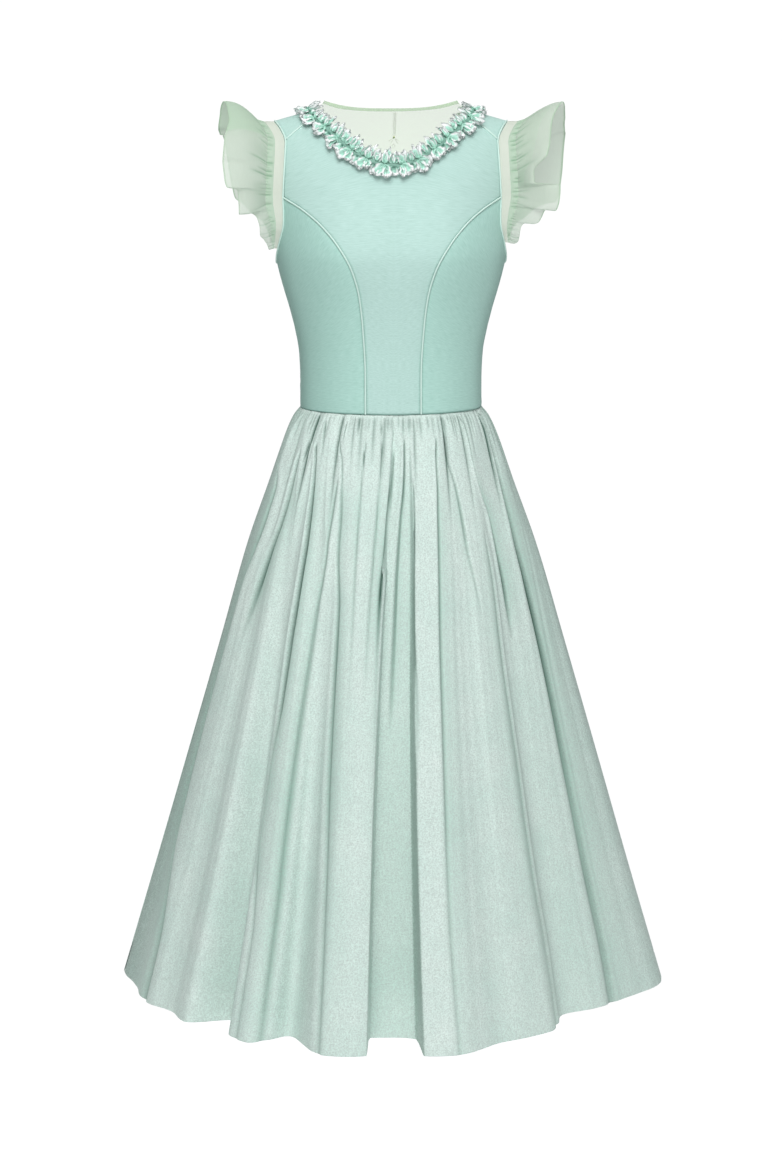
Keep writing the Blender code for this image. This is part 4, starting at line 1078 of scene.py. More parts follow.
def dressed(grid, normals, seams):  # small unevenness, and a dip with faint puckers beside each seam
    rows, columns = grid.shape[:2]
    width = np.linalg.norm(np.diff(grid, axis=1), axis=2).sum(axis=1)[:, None]
    across = np.linspace(0, 1, columns)[None, :]
    x, z = grid[..., 0] + 0.3 * grid[..., 1], grid[..., 2]
    lift = np.zeros((rows, columns))
    for sewn, near in zip(seams, (across * width, (1 - across) * width)):
        if sewn:
            lift -= bodiceShape["seamDip"] * np.exp(-((near / 0.0030) ** 2))
            lift += bodiceShape["pucker"] * clothNoise(z / 0.0045, 0.5, 11) * np.exp(-near / 0.008)
    low = np.exp(-(z - waistZ) / 0.035)
    lift += bodiceShape["drag"] * clothNoise(x / 0.034 + 9, (z + 0.12 * x) / 0.0075 + 40, 12) * low
    lift += bodiceShape["wave"] * clothNoise(x / 0.05 + 20, z / 0.05 + 30, 13)
    return grid + normals * lift[..., None]


def finishPanel(node):
    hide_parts(node)


def seamMask(grid, seams):  # the shade in the waist seam and beside the pipings
    crease = bodiceShape["waistShade"] * np.exp(-np.maximum(grid[..., 2] - waistZ, 0) / 0.0012)
    run = np.linalg.norm(np.diff(grid, axis=1), axis=2)
    run = np.concatenate([np.zeros((len(grid), 1)), np.cumsum(run, axis=1)], axis=1)
    for sewn, near in zip(seams, (run, run[:, -1:] - run)):
        if sewn:
            crease = np.maximum(crease, bodiceShape["seamShade"] * np.exp(-((near / 0.0026) ** 2)))
    return crease


def sideShade(angle, side):  # the cloth turns away towards the side seam, sooner on the wearer's right
    away = np.abs(angle - sideSeamAngle)
    return bodiceShape["sideShade"][side] * easeStep(75, 25, away) + 0.5 * easeStep(34, 8, away)


def centreGrid(left, right, front):  # x and rise over a centre panel, between its long edges
    bottom = np.linspace(left[0], right[0], bodiceShape["columns"])
    bottom[:, 1] = laid([Place(x, waistZ) for x in bottom[:, 0]], front)[:, 1]
    top = np.linspace(left[-1], right[-1], bodiceShape["columns"])
    return np.moveaxis(patch(bottom, top, left, right), -1, 0)


def sewnForm(x, s, side, seams):
    return dressed(flipped(form(x, s), side), flipped(formNormals(x, s), side), seams)


def makeFrontCenter():
    seamRows, upperRows = bodiceShape["seamRows"], bodiceShape["upperRows"]
    princess = spread(laid(frontPrincess, True), seamRows)
    middle = spread(laid([Place(0, waistZ), Place(0, chestZ)], True), seamRows)
    neck = spread(laid(frontNeck + forwardSeam[:1], True), upperRows - 1)
    armhole = spread(laid(frontArmhole, True), upperRows)[1:]
    x, s = centreGrid(np.concatenate([middle, neck]), np.concatenate([princess, armhole]), True)
    grids = [sewnForm(x, s, side, (False, True)) for side in (1, -1)]
    masks = {"crease": [seamMask(grid, (False, True)) for grid in grids]}
    thickness = bodiceShape["thickness"]
    panel = clothMesh("bodice_front_cloth", grids, bodiceCloth, masks, (False, True), thickness, weld=True)
    finishPanel("bodice_front_center")


def makeSidePanel(front, side):
    seamRows = bodiceShape["seamRows"]
    seam = turnedPlaces(spread(laid(frontPrincess if front else backPrincess, front), seamRows), front)
    sideSeam = np.linspace((sideSeamAngle, waistZ), (sideSeamAngle, underarmZ), seamRows)
    top = lowerArmhole(front, bodiceShape["columns"])
    bottom = np.linspace(seam[0], sideSeam[0], bodiceShape["columns"])
    angle, z = np.moveaxis(patch(bottom, top, seam, sideSeam), -1, 0)
    grid = dressed(flipped(formAt(angle, z), side), flipped(formNormalsAt(angle, z), side), (True, True))
    name = f"bodice_{'front' if front else 'back'}_side_{'left' if side > 0 else 'right'}"
    # painted shade beside the pipings, in the waist seam and where the panel turns away towards the side seam
    masks = {"crease": [np.maximum(seamMask(grid, (True, False)), sideShade(angle, side))]}
    flip, thickness = (side > 0) != front, bodiceShape["thickness"]
    panel = clothMesh(name + "_cloth", [grid], sideCloth, masks, [flip], thickness)
    finishPanel(name)


def makeBackCenter(side):
    seamRows, strapRows = bodiceShape["seamRows"], bodiceShape["strapRows"]
    princess = spread(laid(backPrincess, False), seamRows)
    middle = spread(laid([Place(0, waistZ), Place(0, backNeckZ)], False), seamRows)
    neck, armhole = strapInnerEdge(strapRows)[1:], strapOuterEdge(strapRows)[1:]
    x, s = centreGrid(np.concatenate([middle, neck]), np.concatenate([princess, armhole]), False)
    grid = sewnForm(x, s, side, (True, True))
    name = f"bodice_back_{'left' if side > 0 else 'right'}"
    masks = {"crease": [seamMask(grid, (False, True))]}
    panel = clothMesh(name + "_cloth", [grid], bodiceCloth, masks, [side > 0], bodiceShape["thickness"])
    finishPanel(name)


makeFrontCenter()
for side in (1, -1):
    makeSidePanel(True, side)
    makeSidePanel(False, side)
    makeBackCenter(side)
print("bodice made")


# piping

pipingShape = {  # of the princess and shoulder seams, and of the armholes
    "radius": 0.0012,
    "lift": 0.00082,  # of its middle over the cloth
    "armholeRadius": 0.0011,
    "armholeLift": 0.00066,
    "waistGap": 0.0005,  # left free at the waist seam
    "endGap": 0.0030,  # and at the armhole
    "shoulderFrom": 0.40,  # the share of the shoulder seam that the ruche hides
    "armholeIn": 0.0014,  # from the armhole's edge
}


def liftedLine(pairs, side):
    x, s = pairs[:, 0], pairs[:, 1]
    return flipped(form(x, s) + formNormals(x, s) * pipingShape["lift"], side)


def shortened(points, start, end):
    run = runOf(points)
    return pointsAt(np.linspace(start, run[-1] - end, len(points)), run, points)


def armholeLoop(onto, lift, fine=60):  # from the side seam up the front, over the shoulder and down the back
    lowerFront = lowerArmhole(True, fine)[::-1].T
    upperFront = spread(laid(frontArmhole, True), fine)[1:].T
    strap = strapOuterEdge(fine + 20)[-2::-1].T
    lowerBack = lowerArmhole(False, fine)[1:-1].T
    points = np.concatenate([formAt(*lowerFront), form(*upperFront), form(*strap), formAt(*lowerBack)])
    over = [formNormals(*upperFront), formNormals(*strap)]
    normals = np.concatenate([formNormalsAt(*lowerFront), *over, formNormalsAt(*lowerBack)])
    towards = unit(np.cross(normals, np.gradient(points, axis=0)))
    return points + onto * towards + lift * normals


def sewPiping(name, line, radius):
    piece = threadCurve(name + "_satin", [line], radius, pipingSatin, 3)
    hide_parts(name)


def makePiping():
    radius, waistEnd, endGap = pipingShape["radius"], pipingShape["waistGap"], pipingShape["endGap"]
    for side, hand in ((1, "left"), (-1, "right")):
        for part, places, front in (("front", frontPrincess, True), ("back", backPrincess, False)):
            line = shortened(liftedLine(spread(laid(places, front), 90), side), waistEnd, endGap)
            sewPiping(f"piping_princess_{part}_{hand}", line, radius)
        ends = laid(forwardSeam, True)
        ends[0] += (ends[1] - ends[0]) * pipingShape["shoulderFrom"]
        line = shortened(liftedLine(spread(ends, 20), side), 0.0, endGap)
        sewPiping(f"piping_shoulder_{hand}", line, radius)
        loop = flipped(armholeLoop(pipingShape["armholeIn"], pipingShape["armholeLift"]), side)
        sewPiping(f"piping_armhole_{hand}", spread(loop[::4], 220), pipingShape["armholeRadius"])


makePiping()
print("piping made")


# sheer yoke at the back of the neck, with its turned top edge and the closure sewn on it

yokeShape = {
    "cornerX": 0.0925,
    "cornerZ": 0.0225,
    "cornerLift": 0.0090,
    "napeZ": 0.0106,
    "topPower": 3.0,  # how flat the top edge runs before it rises to its corners
    "seamShare": 0.93,  # of the strap's inner edge that it is sewn along
    "sag": 0.0010,
    "hemWidth": 0.0060,
    "hemGap": 0.0006,
    "columns": 140,
    "rows": 44,
}


def yokeSurface(share, up):  # share from the right corner to the left one, up from the seam to the top edge
    edge = strapInnerEdge(80)[:-1]
    edge = edge[: int(yokeShape["seamShare"] * len(edge))]
    seam = np.concatenate([edge[:0:-1] * [-1, 1], edge])
    at = np.linspace(-1, 1, len(seam))
    nape, topX = yokeShape["napeZ"], yokeShape["cornerX"] * share
    topZ = nape + (yokeShape["cornerZ"] - nape) * np.abs(share) ** yokeShape["topPower"]
    topRise = riseOf(ridgeHeight(topX) + yokeShape["cornerLift"] * share**2 - topZ)
    x = np.interp(share, at, seam[:, 0]) * (1 - up) + topX * up
    s = np.interp(share, at, seam[:, 1]) * (1 - up) + topRise * up
    grid = form(x, s)
    grid[..., 2] += yokeShape["cornerLift"] * up**2 * share**2
    sag = yokeShape["sag"] * clothNoise(share * 3 + 5, up * 2 + 8, 41)
    return grid + formNormals(x, s) * (sag * up * (1 - up) * 4)[..., None]


def makeYoke():  # a single layer and, inside its top edge, a narrow hem
    share = np.linspace(-1, 1, yokeShape["columns"])[None, :]
    up = np.linspace(0, 1, yokeShape["rows"])[:, None]
    share, up = np.broadcast_arrays(share, up)
    single = yokeSurface(share, up)
    height = np.linalg.norm(single[-1] - single[0], axis=1)
    turnUp = np.clip(yokeShape["hemWidth"] / np.maximum(height, 0.004), 0, 0.6)[None, :]
    rows = np.linspace(0, 1, 6)[:, None]
    hem = yokeSurface(share[:6], 1 - turnUp * rows)
    facings = gridNormals(hem)
    inwards = 1 if facings[3, yokeShape["columns"] // 2, 1] < 0 else -1
    hem = hem + facings * yokeShape["hemGap"] * np.sin(rows * math.pi / 2)[..., None] * inwards
    blank = [np.zeros(single.shape[:2]), np.zeros(hem.shape[:2])]
    masks = {"layers": [blank[0], blank[1] + 1], "crease": blank}
    piece = clothMesh("neck_yoke_sheer", [single, hem], organza["yoke"], masks, [True, False])
    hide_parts("neck_yoke")


# the closure: a zigzag of thread above a knot with four loose ends, and a small diamond below
closure = {
    "x": 0.0072,
    "top": 0.0055,
    "bottom": -0.0270,
    "width": 0.0024,
    "stitches": 5,
    "thread": 0.00026,  # its radius
    "knotZ": -0.0298,
    "knotSize": 0.0012,
    "knotThread": 1.5,  # times as thick
    "ends": ((-0.0077, -0.0357), (0.0082, -0.0355), (-0.0052, -0.0400), (0.0060, -0.0392)),
    "diamondZ": -0.0428,
    "diamond": ((0, 0.0030), (0.0024, 0), (0, -0.0034), (-0.0024, 0), (0, 0.0030)),
}


def onYoke(x, z, lift=0.0009):  # a place on the inside of the yoke, which shows at the neck
    rise = riseOf(ridgeHeight(x) - z)
    return form(x, rise) - formNormals(x, rise) * lift


def makeClosure():
    heights = np.linspace(closure["top"], closure["bottom"], closure["stitches"] * 2 + 1)
    turns = np.where(np.arange(len(heights)) % 2, 1, -1)
    x, half, knotZ = closure["x"], closure["width"], closure["knotZ"]
    lines = [onYoke(x + turns * half, heights), onYoke(x + 0.4 * half - turns * half * 0.9, heights)]
    t = np.linspace(0, 1, 5)
    for endX, endZ in closure["ends"]:
        lines.append(onYoke(x + endX * t, knotZ + (endZ - knotZ) * t - 0.0008 * np.sin(math.pi * t)))
    wander = np.array([0, 0.3, -0.2, 0.1, 0]) * half
    lines.append(onYoke(x + wander, np.linspace(closure["bottom"], knotZ, 5)))
    diamond = np.array(closure["diamond"])
    lines.append(onYoke(x - 0.0004 + diamond[:, 0], closure["diamondZ"] + diamond[:, 1]))
    piece = threadCurve("closure_thread", lines, closure["thread"], threadCotton, 2)
    turn = np.linspace(0, 5 * math.pi, 60)
    size = closure["knotSize"] * (0.55 + 0.45 * np.sin(turn * 0.4))
    knot = onYoke(x + size * np.cos(turn), knotZ + size * np.sin(turn), 0.0015)
    knot[:, 1] += 0.0006 * np.sin(turn * 1.7)
    bead = threadCurve("closure_knot", [knot], closure["thread"] * closure["knotThread"], knotThread, 2)


makeYoke()
makeClosure()
print("yoke made")


# ruche along the neckline: one ribbon drawn together at its pinches, so that its edges open into petals

rucheShape = {
    "offset": 0.0100,  # of its middle from the neckline
    "gap": 0.0008,  # between its ends at the centre back
    "lift": 0.0014,  # over the bodice
    "stripHalf": 0.0092,
    "stripSamples": 14,  # to a unit
    "stripAcross": 19,
    "petalRows": 13,
    "petalAcross": 13,
    "backUnits": 9,  # on each side, behind the pinches in front
    "fuller": (0.14, 0.045),  # how much wider at the centre front, and how far that reaches
    "jitter": 0.26,  # how unlike each other the petals are
    "edgeCurl": 0.0036,
    "ruffle": 0.0021,  # waves along a petal's edge
    "waver": 0.0009,
    "sway": 0.0016,  # sideways, from root to tip
    "scallop": 0.16,
    "notch": 0.0018,
}
pinches = (
    0.312, 0.343, 0.372, 0.405, 0.435, 0.465, 0.490, 0.511, 0.535, 0.565, 0.596, 0.632, 0.661, 0.696
)  # of those in front, as shares of the ruche's length
# Petals of one unit: where each springs from and points to, as a share of the unit and metres across it
Petal = namedtuple("Petal", "root rootAcross tip tipAcross width low high blunt")
unitPetals = (
    Petal(0.42, -0.0010, 0.36, -0.0138, 0.0110, 0.0014, 0.0030, 0.42),
    Petal(0.56, -0.0010, 0.66, -0.0130, 0.0100, 0.0018, 0.0038, 0.46),
    Petal(0.02, -0.0004, 0.15, -0.0150, 0.0096, 0.0026, 0.0050, 0.50),
    Petal(0.98, -0.0004, 0.86, -0.0146, 0.0096, 0.0026, 0.0056, 0.50),
    Petal(0.46, 0.0016, 0.52, 0.0116, 0.0150, 0.0010, 0.0026, 0.16),
    Petal(0.02, 0.0004, 0.27, 0.0136, 0.0150, 0.0026, 0.0058, 0.16),
    Petal(0.98, 0.0004, 0.75, 0.0140, 0.0144, 0.0026, 0.0066, 0.18),
)
unitRidges = (  # narrow folds that run from the pinches into the middle
    Petal(-0.06, -0.0003, 0.30, -0.0070, 0.0026, 0.0050, 0.0052, 0.45),
    Petal(1.06, -0.0003, 0.70, -0.0066, 0.0024, 0.0050, 0.0052, 0.45),
    Petal(-0.06, 0.0003, 0.30, 0.0056, 0.0026, 0.0052, 0.0060, 0.45),
    Petal(1.06, 0.0003, 0.70, 0.0060, 0.0026, 0.0052, 0.0060, 0.45),
)


def neckline():
    back = laid(backNeck, False)
    half = np.concatenate([laid(frontNeck, True), [[strapInnerX, 0.0]], back[::-1]])
    return np.concatenate([half[:0:-1] * [-1, 1], half])


def rucheFrame():  # stations along its middle with the ways along, and where its pinches lie
    line = spread(neckline(), 1201)
    along = np.gradient(line, axis=0)
    along[0], along[-1] = (-1, 0), (-1, 0)
    along = unit(along)
    outwards = np.stack([along[:, 1], -along[:, 0]], axis=1)
    line = line + outwards * rucheShape["offset"]
    line[0, 0], line[-1, 0] = -rucheShape["gap"] / 2, rucheShape["gap"] / 2
    along = np.gradient(line, axis=0)
    along[:3], along[-3:] = (-1, 0), (-1, 0)
    for _ in range(60):
        along[1:-1] = (along[:-2] + along[1:-1] + along[2:]) / 3
    along = unit(along)
    count = rucheShape["backUnits"] + 1
    first, last = np.linspace(0, pinches[0], count)[:-1], np.linspace(pinches[-1], 1, count)[1:]
    return line, along, np.concatenate([first, pinches, last])


rucheLine, rucheAlong, rucheMarks = rucheFrame()
rucheUnits = len(rucheMarks) - 1


def onRuche(at, across):  # pairs of x and rise; at counts units from the wearer's right of the centre back
    share = np.interp(at, np.arange(rucheUnits + 1), rucheMarks)
    shares = np.linspace(0, 1, len(rucheLine))
    spot = pointsAt(share, shares, rucheLine)
    way = unit(pointsAt(share, shares, rucheAlong))
    wider, reach = rucheShape["fuller"]
    front = np.exp(-((spot[..., 0] / reach) ** 2)) * (spot[..., 1] < 0)
    out = np.stack([way[..., 1], -way[..., 0]], axis=-1)
    return spot + out * (across * (1 + wider * front))[..., None]


def raised(spots, height):
    x, s = spots[..., 0], spots[..., 1]
    return form(x, s) + formNormals(x, s) * (height + rucheShape["lift"])[..., None]


def rucheStrip():  # the ribbon's middle, with its rim and crease masks
    at = np.linspace(0, rucheUnits, rucheUnits * rucheShape["stripSamples"] + 1)[None, :]
    side = np.linspace(-1, 1, rucheShape["stripAcross"])[:, None]
    at, side = np.broadcast_arrays(at, side)
    near = np.abs(at - np.round(at))
    across = side * rucheShape["stripHalf"] * (1 - 0.35 * np.exp(-((near / 0.09) ** 2)))
    height = 0.0012 + 0.0014 * np.exp(-((near / 0.12) ** 2)) - 0.0006 * np.abs(side) ** 3
    # the strip's crease mask is painted shade: over the whole strip, which shows in the gaps, deeper in the
    # mouths and at the pinches' slits
    mouth = np.exp(-(((near - 0.5) / 0.17) ** 2) - ((across - 0.0026) / 0.0016) ** 2)
    slit = np.exp(-((near / 0.07) ** 2)) * easeStep(0.0008, 0.003, np.abs(across))
    crease = np.clip(0.50 + 0.5 * mouth + 0.3 * slit, 0, 1)
    return raised(onRuche(at, across), height), np.zeros(at.shape), crease


def ruchePetal(petal, ridge, unitNumber, number, random):  # one petal or ridge, with the same masks
    up = np.linspace(0, 1, rucheShape["petalRows"])[:, None]  # from its root to its tip
    beam = np.linspace(-1, 1, rucheShape["petalAcross"])[None, :]  # from one edge to the other
    up, beam = np.broadcast_arrays(up, beam)
    tipAt, size, fatter, higher = 1 + random.uniform(-1, 1, 4) * rucheShape["jitter"]
    bend, phase = random.uniform(-1, 1, 2)
    lower = petal.tipAcross > 0
    root = onRuche(np.array(unitNumber + petal.root), np.array(petal.rootAcross))
    tip = unitNumber + petal.tip + 0.6 * (tipAt - 1)
    tip = onRuche(np.array(tip), np.array(petal.tipAcross * (1 if ridge else size)))
    way = tip - root
    beside = np.array([-way[1], way[0]]) / np.hypot(*way)
    outline = up**0.36 * (1 - up) ** petal.blunt
    outline = outline / outline.max()
    half = 0.46 * petal.width * fatter * outline
    waver = rucheShape["waver"] * clothNoise(up * 3 + 7 * unitNumber, beam * 2 + 3 * number, 71) * (not ridge)
    sway = rucheShape["sway"] * bend * np.sin(math.pi * up)
    edge = np.sin(15 * up + 9 * phase + 2 * beam) * easeStep(0.2, 0.5, up)
    scallop = 1 + rucheShape["scallop"] * edge * (not ridge)
    spots = root + way * up[..., None]
    spots = spots + beside * (beam * half * scallop + waver * up + sway)[..., None]
    notch = rucheShape["notch"] * np.cos((7.5 if lower else 5.5) * beam + 5 * phase)
    notch = notch * easeStep(0.45, 1, up) * (not ridge)
    spots = spots + unit(way) * notch[..., None]
    height = petal.low + (petal.high * higher - petal.low) * np.sin(0.5 * math.pi * up)
    if ridge:
        height = height - 0.0026 * beam**2 - 0.0016 * up**2
    else:
        curl = rucheShape["edgeCurl"] * outline * (beam**2 - 0.35)
        height = height + curl + 0.0010 * easeStep(0.6, 1, up)
        waves = np.sin((6.5 if lower else 4.0) * beam + 6 * phase + 4 * up) * easeStep(0.2, 0.8, up)
        height = height + rucheShape["ruffle"] * waves * (1.3 if lower else 0.7)
        height = height + 0.0008 * clothNoise(up * 4 + 5 * unitNumber, beam * 2 + 9 * number, 72)
    side, end = np.abs(beam) + 0.15 * waver / rucheShape["waver"], up + 0.1 * bend
    brim = np.maximum(easeStep(0.46, 0.70, side), easeStep(0.62, 0.80, end)) * easeStep(0.05, 0.30, up)
    # painted shade in each petal's hollow, and a painted dark outline along its edges
    hollow = easeStep(0.85, 0.1, np.abs(beam)) * easeStep(0.75, 0.15, up)
    edgeShadow = np.maximum(np.abs(beam) > 0.99, up > 0.99)
    shade = 0.62 * edgeShadow + (0.05 if ridge else 0.42) * hollow
    grid = raised(spots, np.maximum(height, 0.0004))
    # on the ridges the rim mask, a third as strong, is painted highlight along the folds
    return grid, brim * 0.30 if ridge else brim, np.clip(shade, 0, 1)


def makeRuche():
    random = np.random.default_rng(17)
    parts = [rucheStrip()]
    for unitNumber in range(rucheUnits):
        for number, petal in enumerate(unitPetals + unitRidges):
            parts.append(ruchePetal(petal, petal in unitRidges, unitNumber, number, random))
    grids, rims, creases = zip(*parts)
    flips = [True] + [False] * (len(grids) - 1)
    piece = clothMesh("neck_ruche_ribbon", grids, ribbonSatin, {"rim": rims, "crease": creases}, flips)
    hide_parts("neck_ruche")


makeRuche()
print("ruche made")


# sleeves: a flat sheer band, an elastic casing and a frill

sleeveShape = {
    "bandWidth": 0.0130,
    "casingWidth": 0.0100,
    "span": (0.0283, 0.4414),  # from the underarm seam, forwards and up round the armhole
    "armCentre": (0.004, -0.105),  # y and z
    "start": 0.0006,  # outside the armhole's edge
    "taper": 0.16,  # the share over which band and casing narrow to their ends
    "endWidth": 0.30,
    "casingRise": 0.15,
    "roundness": {1: 1.8, -1: 2.5},  # how soon each frill rises from its casing
    "columns": 560,
    "gather": 0.0016,
    "billow": 0.0055,
    "slide": 0.0010,  # of the cloth along its casing
    "arc": 0.40,  # its length round the armhole, for the gathers
    "patchShade": 0.30,
    "hemRows": 4,
    "hemReach": 0.035,  # of its hem, as a share of the frill's width
    "hemGap": 0.0005,
}
# Frill: shares round the armhole from the front underarm, its width and its flare in radians
Frill = namedtuple("Frill", "share width flare")
frillLeft = (
    Frill(0.050, 0.006, 0.30),
    Frill(0.062, 0.011, 0.35),
    Frill(0.085, 0.013, 0.35),
    Frill(0.115, 0.014, 0.35),
    Frill(0.130, 0.018, 0.38),
    Frill(0.142, 0.033, 0.40),
    Frill(0.160, 0.040, 0.42),
    Frill(0.182, 0.045, 0.45),
    Frill(0.194, 0.057, 0.48),
    Frill(0.235, 0.061, 0.42),
    Frill(0.254, 0.031, 0.85),
    Frill(0.275, 0.031, 0.85),
    Frill(0.305, 0.050, 0.68),
    Frill(0.350, 0.052, 0.52),
    Frill(0.425, 0.0560, 0.46),
    Frill(0.500, 0.0590, 0.45),
    Frill(0.550, 0.063, 0.36),
    Frill(0.600, 0.070, 0.42),
    Frill(0.650, 0.077, 0.50),
    Frill(0.700, 0.082, 0.50),
    Frill(0.750, 0.081, 0.48),
    Frill(0.800, 0.075, 0.45),
    Frill(0.820, 0.070, 0.44),
    Frill(0.845, 0.040, 0.42),
    Frill(0.870, 0.026, 0.40),
    Frill(0.900, 0.014, 0.38),
    Frill(0.955, 0.006, 0.20),
)
frillRight = (
    Frill(0.025, 0.005, 0.20),
    Frill(0.050, 0.007, 0.30),
    Frill(0.075, 0.011, 0.35),
    Frill(0.100, 0.017, 0.40),
    Frill(0.130, 0.016, 0.42),
    Frill(0.155, 0.018, 0.50),
    Frill(0.172, 0.026, 0.50),
    Frill(0.184, 0.043, 0.55),
    Frill(0.205, 0.044, 0.58),
    Frill(0.228, 0.046, 0.58),
    Frill(0.243, 0.060, 0.52),
    Frill(0.262, 0.064, 0.48),
    Frill(0.300, 0.0665, 0.45),
    Frill(0.350, 0.065, 0.46),
    Frill(0.425, 0.056, 0.44),
    Frill(0.500, 0.0516, 0.50),
    Frill(0.550, 0.0555, 0.33),
    Frill(0.600, 0.061, 0.30),
    Frill(0.650, 0.064, 0.40),
    Frill(0.700, 0.0615, 0.50),
    Frill(0.750, 0.057, 0.48),
    Frill(0.800, 0.050, 0.45),
    Frill(0.840, 0.034, 0.42),
    Frill(0.870, 0.022, 0.40),
    Frill(0.900, 0.012, 0.35),
    Frill(0.970, 0.005, 0.20),
)
# Tucks: where the frill lies over itself, by how much and how far in front
Tuck = namedtuple("Tuck", "share overlap step")
tucksLeft = (
    Tuck(0.244, 0.0060, -0.0040),
    Tuck(0.188, 0.0060, 0.0045),
    Tuck(0.136, 0.0055, 0.0035),
    Tuck(0.060, 0.0030, 0.0020),
    Tuck(0.680, 0.0030, 0.0025),
    Tuck(0.820, 0.0055, 0.0040),
    Tuck(0.885, 0.0035, 0.0025),
)
tucksRight = (
    Tuck(0.236, 0.0062, 0.0045),
    Tuck(0.178, 0.0060, 0.0045),
    Tuck(0.118, 0.0035, 0.0030),
    Tuck(0.300, 0.0016, 0.0020),
    Tuck(0.660, 0.0030, 0.0025),
    Tuck(0.820, 0.0050, 0.0040),
)
# Gathers of three kinds along a drawn-in edge: spacing, reach from the edge and depth
edgeGathers = (Gathers(0.0046, 0.007, 0.5), Gathers(0.0085, 0.016, 0.9), Gathers(0.019, 0.034, 1.1))
# The parts of a sleeve: what each reaches from and to, its rows, its organza, how it is held and its cut
SleevePart = namedtuple("SleevePart", "name low high rows look held cut")
sleeveParts = (
    SleevePart("sleeve_band", 0.0, 0.985, 9, "band", "stretched", Cut((0.385, 0.014), 0.0046)),
    SleevePart("sleeve_casing", 1.0, 2.0, 15, "casing", "stretched", Cut((0.385, 0.012), 0.0038)),
    SleevePart("sleeve_frill", 2.0, 3.0, 52, "frill", "gathered", Cut((0.62, 0.070), 0.0255)),
)


def sleeveLine(side, share):
    loop = spread(armholeLoop(-sleeveShape["start"], 0.0002)[::5], 801)
    first, last = sleeveShape["span"]
    line = pointsAt(first + (last - first) * share, runOf(loop), loop)
    away = line - np.array([0, *sleeveShape["armCentre"]])
    away[:, 0] = 0
    return flipped(line, side), flipped(unit(away), side)


def drawnGathers(arc, away, seed):  # gathers along a drawn-in edge, each with its own place, length and depth
    height, valley = np.zeros((2, *arc.shape))
    thin = 0.0007 + 0.05 * away
    for level, kind in enumerate(edgeGathers):
        random = np.random.default_rng(seed * 10 + level)
        count = int((sleeveShape["arc"] + 0.02) / kind.spacing)
        edges = np.sort((np.arange(count) + random.uniform(-0.36, 0.36, count)) * kind.spacing)
        ends = kind.reach * random.uniform(0.5, 1.3, count)
        depths = kind.depth * random.uniform(0.4, 1.2, count)
        cell = np.clip(np.searchsorted(edges, arc) - 1, 0, count - 2)
        near = (cell, cell + 1)  # the grooves on either side
        low, high = (edges[one] for one in near)
        faded = [depths[one] * (1 - easeStep(0.1 * ends[one], ends[one], away)) for one in near]
        groove = faded[0] * np.exp(-np.abs(arc - low) / thin) + faded[1] * np.exp(-np.abs(high - arc) / thin)
        crown = 1 - (2 * np.clip((arc - low) / (high - low), 0, 1) - 1) ** 2
        height += 0.5 * crown * (faded[0] + faded[1]) * 0.6 - 0.8 * groove
        # valley: a mask of painted shade in each groove
        valley = np.maximum(valley, np.clip(groove, 0, 1))
    return height, valley


def sleeveSurface(side, share, reach):  # reach 0 at the armhole, 1 and 2 at the casing's edges, 3 at the hem
    line, away = sleeveLine(side, share[0])
    rows, tucks, seed = (frillLeft, tucksLeft, 50) if side > 0 else (frillRight, tucksRight, 60)
    width = readTable(rows, "share", "width", share)
    flare = readTable(rows, "share", "flare", share)
    inside = np.minimum(share - rows[0].share, rows[-1].share - share) / sleeveShape["taper"]
    endWidth = sleeveShape["endWidth"]
    narrow = np.clip(endWidth + (1 - endWidth) * inside, 0, 1)
    band = np.clip(reach, 0, 1) * sleeveShape["bandWidth"] * narrow
    casing = np.clip(reach - 1, 0, 1) * sleeveShape["casingWidth"] * narrow
    grown = np.clip(reach - 2, 0, 1)
    along = band + casing + grown * width * np.cos(flare)
    risen = 1 - (1 - grown) ** sleeveShape["roundness"][side]
    apart = sleeveShape["casingRise"] * casing + risen * width * np.sin(flare)
    arc = share * sleeveShape["arc"]
    size = (width / 0.06).clip(0.15, 1)
    pressed = easeStep(1, 1.35, reach)
    fromDrawn = np.where(reach > 2, grown * width, (2 - reach) * sleeveShape["casingWidth"] * 1.3)
    gathers, valley = drawnGathers(arc, fromDrawn, seed + 1)
    apart = apart + sleeveShape["gather"] * gathers * pressed * (0.4 + 0.6 * size)
    apart = apart + sleeveShape["billow"] * clothNoise(arc / 0.030, grown * 1.3 + 11, seed + 4) * grown * size
    slide = sleeveShape["slide"] * clothNoise(arc / 0.012, 0.5, seed + 5) * grown
    for tuck in tucks:
        off = (share - tuck.share) / 0.019
        grip = np.clip(grown * 1.6, 0, 1) * size
        slide = slide - tuck.overlap * 1.9 * off * np.exp(-(off**2)) * grip
        apart = apart + tuck.step * np.tanh(off * 1.6) * np.exp(-np.abs(off) / 2.2) * grip
    tangent = unit(np.gradient(line, axis=0))
    grid = line[None] + along[..., None] * np.array([side, 0, 0]) + apart[..., None] * away[None]
    # painted shadow: soft patches of shade that fan out from the casing into the frill
    shadowPatches = np.clip(1.6 * clothNoise(arc / 0.014 + 3 * seed, fromDrawn / 0.05, seed + 5) + 0.1, 0, 1)
    shadowPatches = shadowPatches * easeStep(0.034, 0.004, fromDrawn) * easeStep(2, 2.04, reach)
    crease = np.maximum(valley * pressed, sleeveShape["patchShade"] * shadowPatches)
    if side > 0:
        double = 0.45 * easeStep(0.03, -0.03, grown - 0.45 - 2 * (share - 0.3)) * easeStep(0.24, 0.26, share)
    else:
        double = easeStep(0.398, 0.408, share + 0.03 * grown) * easeStep(0.66, 0.62, share)
    return grid + slide[..., None] * tangent[None], crease, double * easeStep(0, 0.1, grown)


